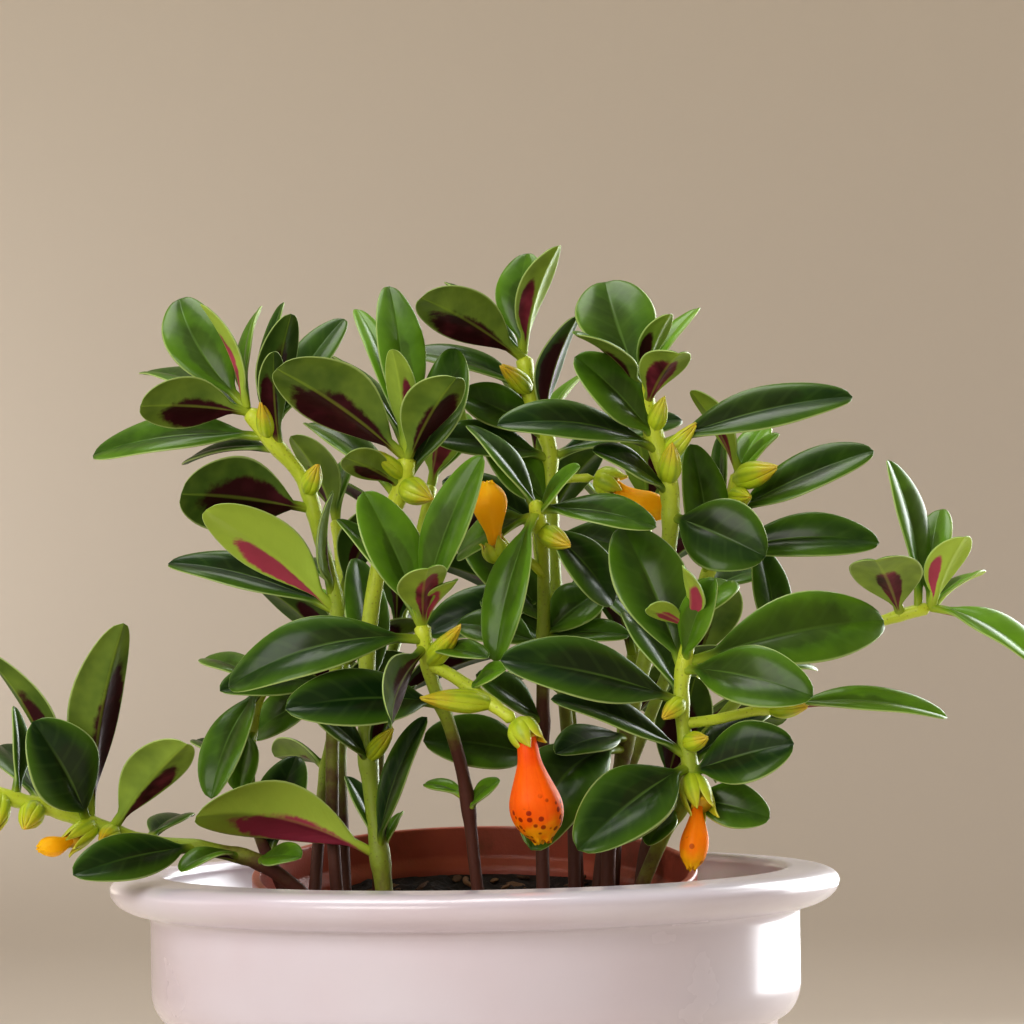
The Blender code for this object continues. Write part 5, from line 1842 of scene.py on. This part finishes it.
@dataclass
class NurseryPot:
    """The thin moulded pot that the plant grows in, which leans to the front."""

    node: str = "nursery_pot"
    slot: str = "brown_plastic"
    wall: float = 1.4
    floor: float = 2.0
    band: float = 9.0             # height of the rim band
    proud: float = 1.5            # how far the band stands out
    sides: int = 144
    drains: int = 4
    drain_radius: float = 3.5
    drain_circle: float = 20.0    # radius that the drains stand on
    drill_length: float = 12.0

    def radius(self, height: float) -> float:
        """Outer radius of the tapered side under the rim band."""
        whole, _ = POTS.stand()
        return POTS.nursery_base + (POTS.nursery_rim - self.proud - POTS.nursery_base) * height / whole

    def build(self) -> None:
        """Turn the pot, drill its drains and stand it in the outer pot."""
        height, stand = POTS.stand()
        rim, low = POTS.nursery_rim, height - self.band
        corners = [(0.0, self.floor, 0.0), (self.radius(self.floor) - self.wall, self.floor, 1.5),
                   (self.radius(low) - self.wall, low, 1.0), (rim - self.wall - 0.7, low + 2.0, 0.8),
                   (rim - self.wall - 0.5, height, 0.5), (rim, height, 0.7), (rim - 0.3, low, 0.5),
                   (self.radius(low), low - 0.3, 0.4), (self.radius(0.0), 0.0, 1.5), (0.0, 0.0, 0.0)]
        pot = turned("growing_pot", rounded(corners, 4), self.sides, PlasticFinish().make())
        for number in range(self.drains):
            self.drill(pot, math.tau * (number + 0.5) / self.drains)
        pot.data.transform(stand)
        seat(pot, self.node)

    def drill(self, pot: bpy.types.Object, angle: float) -> None:
        """Cut one drain hole through the floor.

        Args:
            pot: The pot, upright.
            angle: Where the hole is, round the pot.
        """
        place = Vector((math.cos(angle), math.sin(angle), 0.0)) * self.drain_circle * MM
        radius = self.drain_radius * MM
        edit = bmesh.new()
        bmesh.ops.create_cone(edit, cap_ends=True, segments=32, radius1=radius, radius2=radius,
                              depth=self.drill_length * MM, matrix=Matrix.Translation(place))
        mesh = bpy.data.meshes.new("drain")
        edit.to_mesh(mesh)
        edit.free()
        drill = placed("drain", mesh)
        boolean = pot.modifiers.new("Drain", "BOOLEAN")
        boolean.operation = "DIFFERENCE"
        boolean.object = drill
        pot.data = applied(pot)
        bpy.data.objects.remove(drill)


@dataclass
class SoilBed:
    """The root ball in the nursery pot: crumbly soil with bark chips and dead twigs on it."""

    node: str = "soil"
    slot: str = "potting_soil"
    inset: float = 0.4            # gap to the pot's wall
    ring_step: float = 0.9
    sides: int = 168
    sunk: float = 0.4             # the top's middle lies this far under the level
    crumb: float = 1.5            # height of the crumbs
    crumbs_per_mm: float = 0.34
    clod: float = 1.6             # height of the clods
    swell: float = 0.6            # height of the slow humps
    calm: float = 4.0             # width of the level edge
    chips: int = 150
    chip_inset: float = 3.5
    chip_stations: int = 7
    chip_sides: int = 10
    twigs: int = 16
    twig_stations: int = 9
    twig_sides: int = 8

    def __post_init__(self) -> None:
        """Find the room that the nursery pot leaves."""
        height, self.stand = POTS.stand()
        pot = NurseryPot()
        self.top, self.low = height - POTS.soil_below_rim, pot.floor + POTS.gap
        self.edge = pot.radius(self.top) - pot.wall - self.inset
        self.foot = pot.radius(self.low) - pot.wall - self.inset

    def build(self) -> None:
        """Lay the soil and scatter the chips."""
        piece = Piece("soil_bed", [SoilFinish().make(), BarkFinish().make()])
        piece.loft(self.skin(), 0, {Trait.SEED: 0.5})
        luck = Random("bark chips")
        for _ in range(self.chips):
            self.chip(piece, luck)
        for _ in range(self.twigs):
            self.twig(piece, luck)
        seat(piece.make(), self.node)

    def skin(self) -> np.ndarray:
        """Rings of the soil's skin, from the middle of its top to the middle of its underside."""
        top, edge, low, foot = self.top, self.edge, self.low, self.foot
        reaches = list(np.arange(self.ring_step, edge - 1.0, self.ring_step)) + [edge - 0.5]
        turns = [math.tau * side / self.sides for side in range(self.sides)]
        rings = [[self.on_top(r * math.cos(a), r * math.sin(a)) for a in turns] for r in reaches]
        flank = [(edge, top - 1.4), (edge + (foot - edge) * 0.5, (top + low) / 2), (foot, low + 1.0),
                 (foot - 1.0, low), (foot * 0.5, low)]
        rings += [[(r * math.cos(a), r * math.sin(a), z) for a in turns] for r, z in flank]
        turn = np.array(self.stand.to_3x3())
        return np.array(rings) @ turn.T + np.array(self.stand.translation) / MM

    def on_top(self, x: float, y: float) -> Point:
        """The point of the crumbly top at a place, in the frame of the upright pot."""
        place = Vector((x, y, 0.0)) * self.crumbs_per_mm
        rough = noise.fractal(place, 0.9, 2.1, 5) * self.crumb
        clods = max(0.0, noise.noise(place * 0.45 + Vector((7.0, 3.0, 1.0)))) * self.clod
        swell = math.sin(x * 0.1 + 1.0) * math.cos(y * 0.09) * self.swell
        calm = min(1.0, (self.edge - math.hypot(x, y)) / self.calm)
        return x, y, self.top + (rough + clods + swell) * calm - self.sunk

    def stood(self, point: Vector) -> Point:
        """A point of the upright pot where the leaning pot has it."""
        return tuple(self.stand @ (point * MM) / MM)

    def chip(self, piece: Piece, luck: Random) -> None:
        """Add a chip of bark: a flat splintered block that lies on the soil.

        Args:
            piece: The soil's piece.
            luck: Where its numbers are drawn from.
        """
        reach, angle = (self.edge - self.chip_inset) * math.sqrt(luck.random()), luck.random() * math.tau
        centre = Vector(self.on_top(reach * math.cos(angle), reach * math.sin(angle)))
        long, wide, deep = luck.uniform(2.0, 6.5), luck.uniform(1.0, 2.6), luck.uniform(0.4, 1.0)
        centre += UP * deep * 0.25
        lie = Matrix.Rotation(luck.random() * math.tau, 3, "Z") @ Matrix.Rotation(luck.gauss(0, 0.3), 3, "X")
        lie = lie @ Matrix.Rotation(luck.gauss(0, 0.25), 3, "Y")
        rings = []
        for station in np.linspace(-1, 1, self.chip_stations):
            fat = math.sqrt(max(0.05, 1 - abs(station) ** 5)) / 2
            ring = []
            for side in range(self.chip_sides):
                a = math.tau * side / self.chip_sides
                bulge = fat * (1 + luck.uniform(-0.16, 0.16))
                corner = Vector((station * long / 2 + luck.uniform(-0.2, 0.2),
                                 math.copysign(abs(math.cos(a)) ** 0.5, math.cos(a)) * wide * bulge,
                                 math.copysign(abs(math.sin(a)) ** 0.5, math.sin(a)) * deep * bulge))
                ring.append(self.stood(centre + lie @ corner))
            rings.append(ring)
        piece.loft(np.array(rings), 1, {Trait.SEED: luck.random()})

    def twig(self, piece: Piece, luck: Random) -> None:
        """Add a short dead twig that lies on the soil.

        Args:
            piece: The soil's piece.
            luck: Where its numbers are drawn from.
        """
        angle, way = luck.random() * math.tau, luck.random() * math.tau
        reach, length = luck.uniform(0.1, 0.75) * self.edge, luck.uniform(6.0, 15.0)
        line = []
        for share in np.linspace(-0.5, 0.5, self.twig_stations):
            x = reach * math.cos(angle) + share * length * math.cos(way + share * 0.5)
            y = reach * math.sin(angle) + share * length * math.sin(way + share * 0.5)
            _, _, z = self.on_top(x, y)
            line.append(self.stood(Vector((x, y, self.top + 0.7 + 0.3 * (z - self.top)))))
        radii = np.linspace(0.65, 0.35, self.twig_stations) * luck.uniform(0.7, 1.2)
        piece.loft(round_rings(np.array(line), radii, self.twig_sides), 1, {Trait.SEED: luck.random()})


# ---------------------------------------------------------------- studio

@dataclass(frozen=True)
class SoftBox:
    """A rectangular soft light, in metres, aimed at the plant."""

    name: str
    place: Point
    size: tuple[float, float]
    power: float
    colour: Colour = (1.0, 1.0, 1.0)
    aim: Point = (0.0, 0.0, 0.15)
    spread: float = math.radians(180)

    def build(self) -> None:
        """Hang the light."""
        lamp = bpy.data.lights.new(self.name, "AREA")
        lamp.shape = "RECTANGLE"
        lamp.size, lamp.size_y = self.size
        lamp.energy = self.power
        lamp.color = self.colour
        lamp.spread = self.spread
        item = placed(self.name, lamp)
        item.location = self.place
        item.rotation_euler = (Vector(self.aim) - Vector(self.place)).to_track_quat("-Z", "Y").to_euler()
        item.visible_camera = False


@dataclass
class Studio:
    """A pale bowl-shaped backdrop, soft lights and the camera."""

    floor_reach: float = 1.3      # metres, as all here
    cove: float = 0.9
    wall_top: float = 3.0
    sides: int = 96
    camera_place: Point = (0.00945, -0.9, 0.1765)
    camera_rise: float = math.radians(1.38)
    camera_roll: float = math.radians(0.9)
    focal_pixels: float = 4083.5
    picture_pixels: float = 1024.0
    sensor: float = 36.0          # millimetres
    clip: tuple[float, float] = (0.05, 20.0)
    sky: Colour = srgb(222, 214, 208)
    sky_strength: float = 0.4
    lights: tuple[SoftBox, ...] = (
        SoftBox("window", (0.58, 0.6, 0.43), (0.74, 0.86), 6.0, (0.94, 0.97, 1.0), (0.0, 0.0, 0.43),
                math.radians(110)),
        SoftBox("overhead", (-0.25, 0.3, 1.6), (1.0, 0.9), 12.0, (1.0, 0.98, 0.96)),
        SoftBox("front_fill", (-0.8, -1.35, 0.8), (1.1, 1.0), 14.0, (1.0, 0.97, 0.96)),
        SoftBox("left_glow", (-1.4, 0.3, 0.5), (0.8, 1.0), 2.0, (1.0, 0.93, 0.88)),
        SoftBox("wall_wash", (-0.85, 1.45, 0.2), (0.5, 0.5), 2.6, (1.0, 0.98, 0.96), (-0.5, 2.2, 0.1),
                math.radians(130)),
    )

    def build(self) -> None:
        """Set up the backdrop, the lights and the camera."""
        self.backdrop()
        for light in self.lights:
            light.build()
        self.world()
        self.camera()

    def backdrop(self) -> None:
        """A floor that curves up into a wall all round."""
        profile = [(0.0, 0.0), (self.floor_reach, 0.0)]
        profile += arc((self.floor_reach, self.cove), (self.cove, self.cove), -90, 0, 24)[1:]
        profile.append((self.floor_reach + self.cove, self.wall_top))
        profile = [(radius / MM, height / MM) for radius, height in profile]
        turned("backdrop", profile, self.sides, BackdropFinish().make())

    def world(self) -> None:
        """Even light from above, shown with full colours; so few lights need no tree."""
        scene = bpy.context.scene
        scene.view_settings.view_transform = "Standard"
        scene.view_settings.look = "Medium High Contrast"
        scene.cycles.use_light_tree = False
        world = bpy.data.worlds.new("sky")
        scene.world = world
        world.use_nodes = True
        background = world.node_tree.nodes["Background"]
        background.inputs["Color"].default_value = (*self.sky, 1.0)
        background.inputs["Strength"].default_value = self.sky_strength

    def camera(self) -> None:
        """The camera, a little above the lip, looking slightly up and turned a little to the left."""
        data = bpy.data.cameras.new("camera")
        data.sensor_fit = "HORIZONTAL"
        data.sensor_width = self.sensor
        data.lens = self.sensor * self.focal_pixels / self.picture_pixels
        data.clip_start, data.clip_end = self.clip
        item = placed("camera", data)
        ahead = Vector((0.0, math.cos(self.camera_rise), math.sin(self.camera_rise)))
        above = Vector((0.0, -math.sin(self.camera_rise), math.cos(self.camera_rise)))
        right = RIGHT * math.cos(self.camera_roll) - above * math.sin(self.camera_roll)
        up = above * math.cos(self.camera_roll) + RIGHT * math.sin(self.camera_roll)
        stand = Matrix((right, up, -ahead)).transposed().to_4x4()
        stand.translation = self.camera_place
        item.matrix_world = stand
        bpy.context.scene.camera = item


def main() -> None:
    """Build every piece over its solid and light the scene."""
    logging.basicConfig(level=logging.INFO, format="%(name)s: %(message)s")
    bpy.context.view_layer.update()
    GlazedPot().build()
    NurseryPot().build()
    SoilBed().build()
    Plant().build()
    Studio().build()


if __name__ == "__main__":
    main()
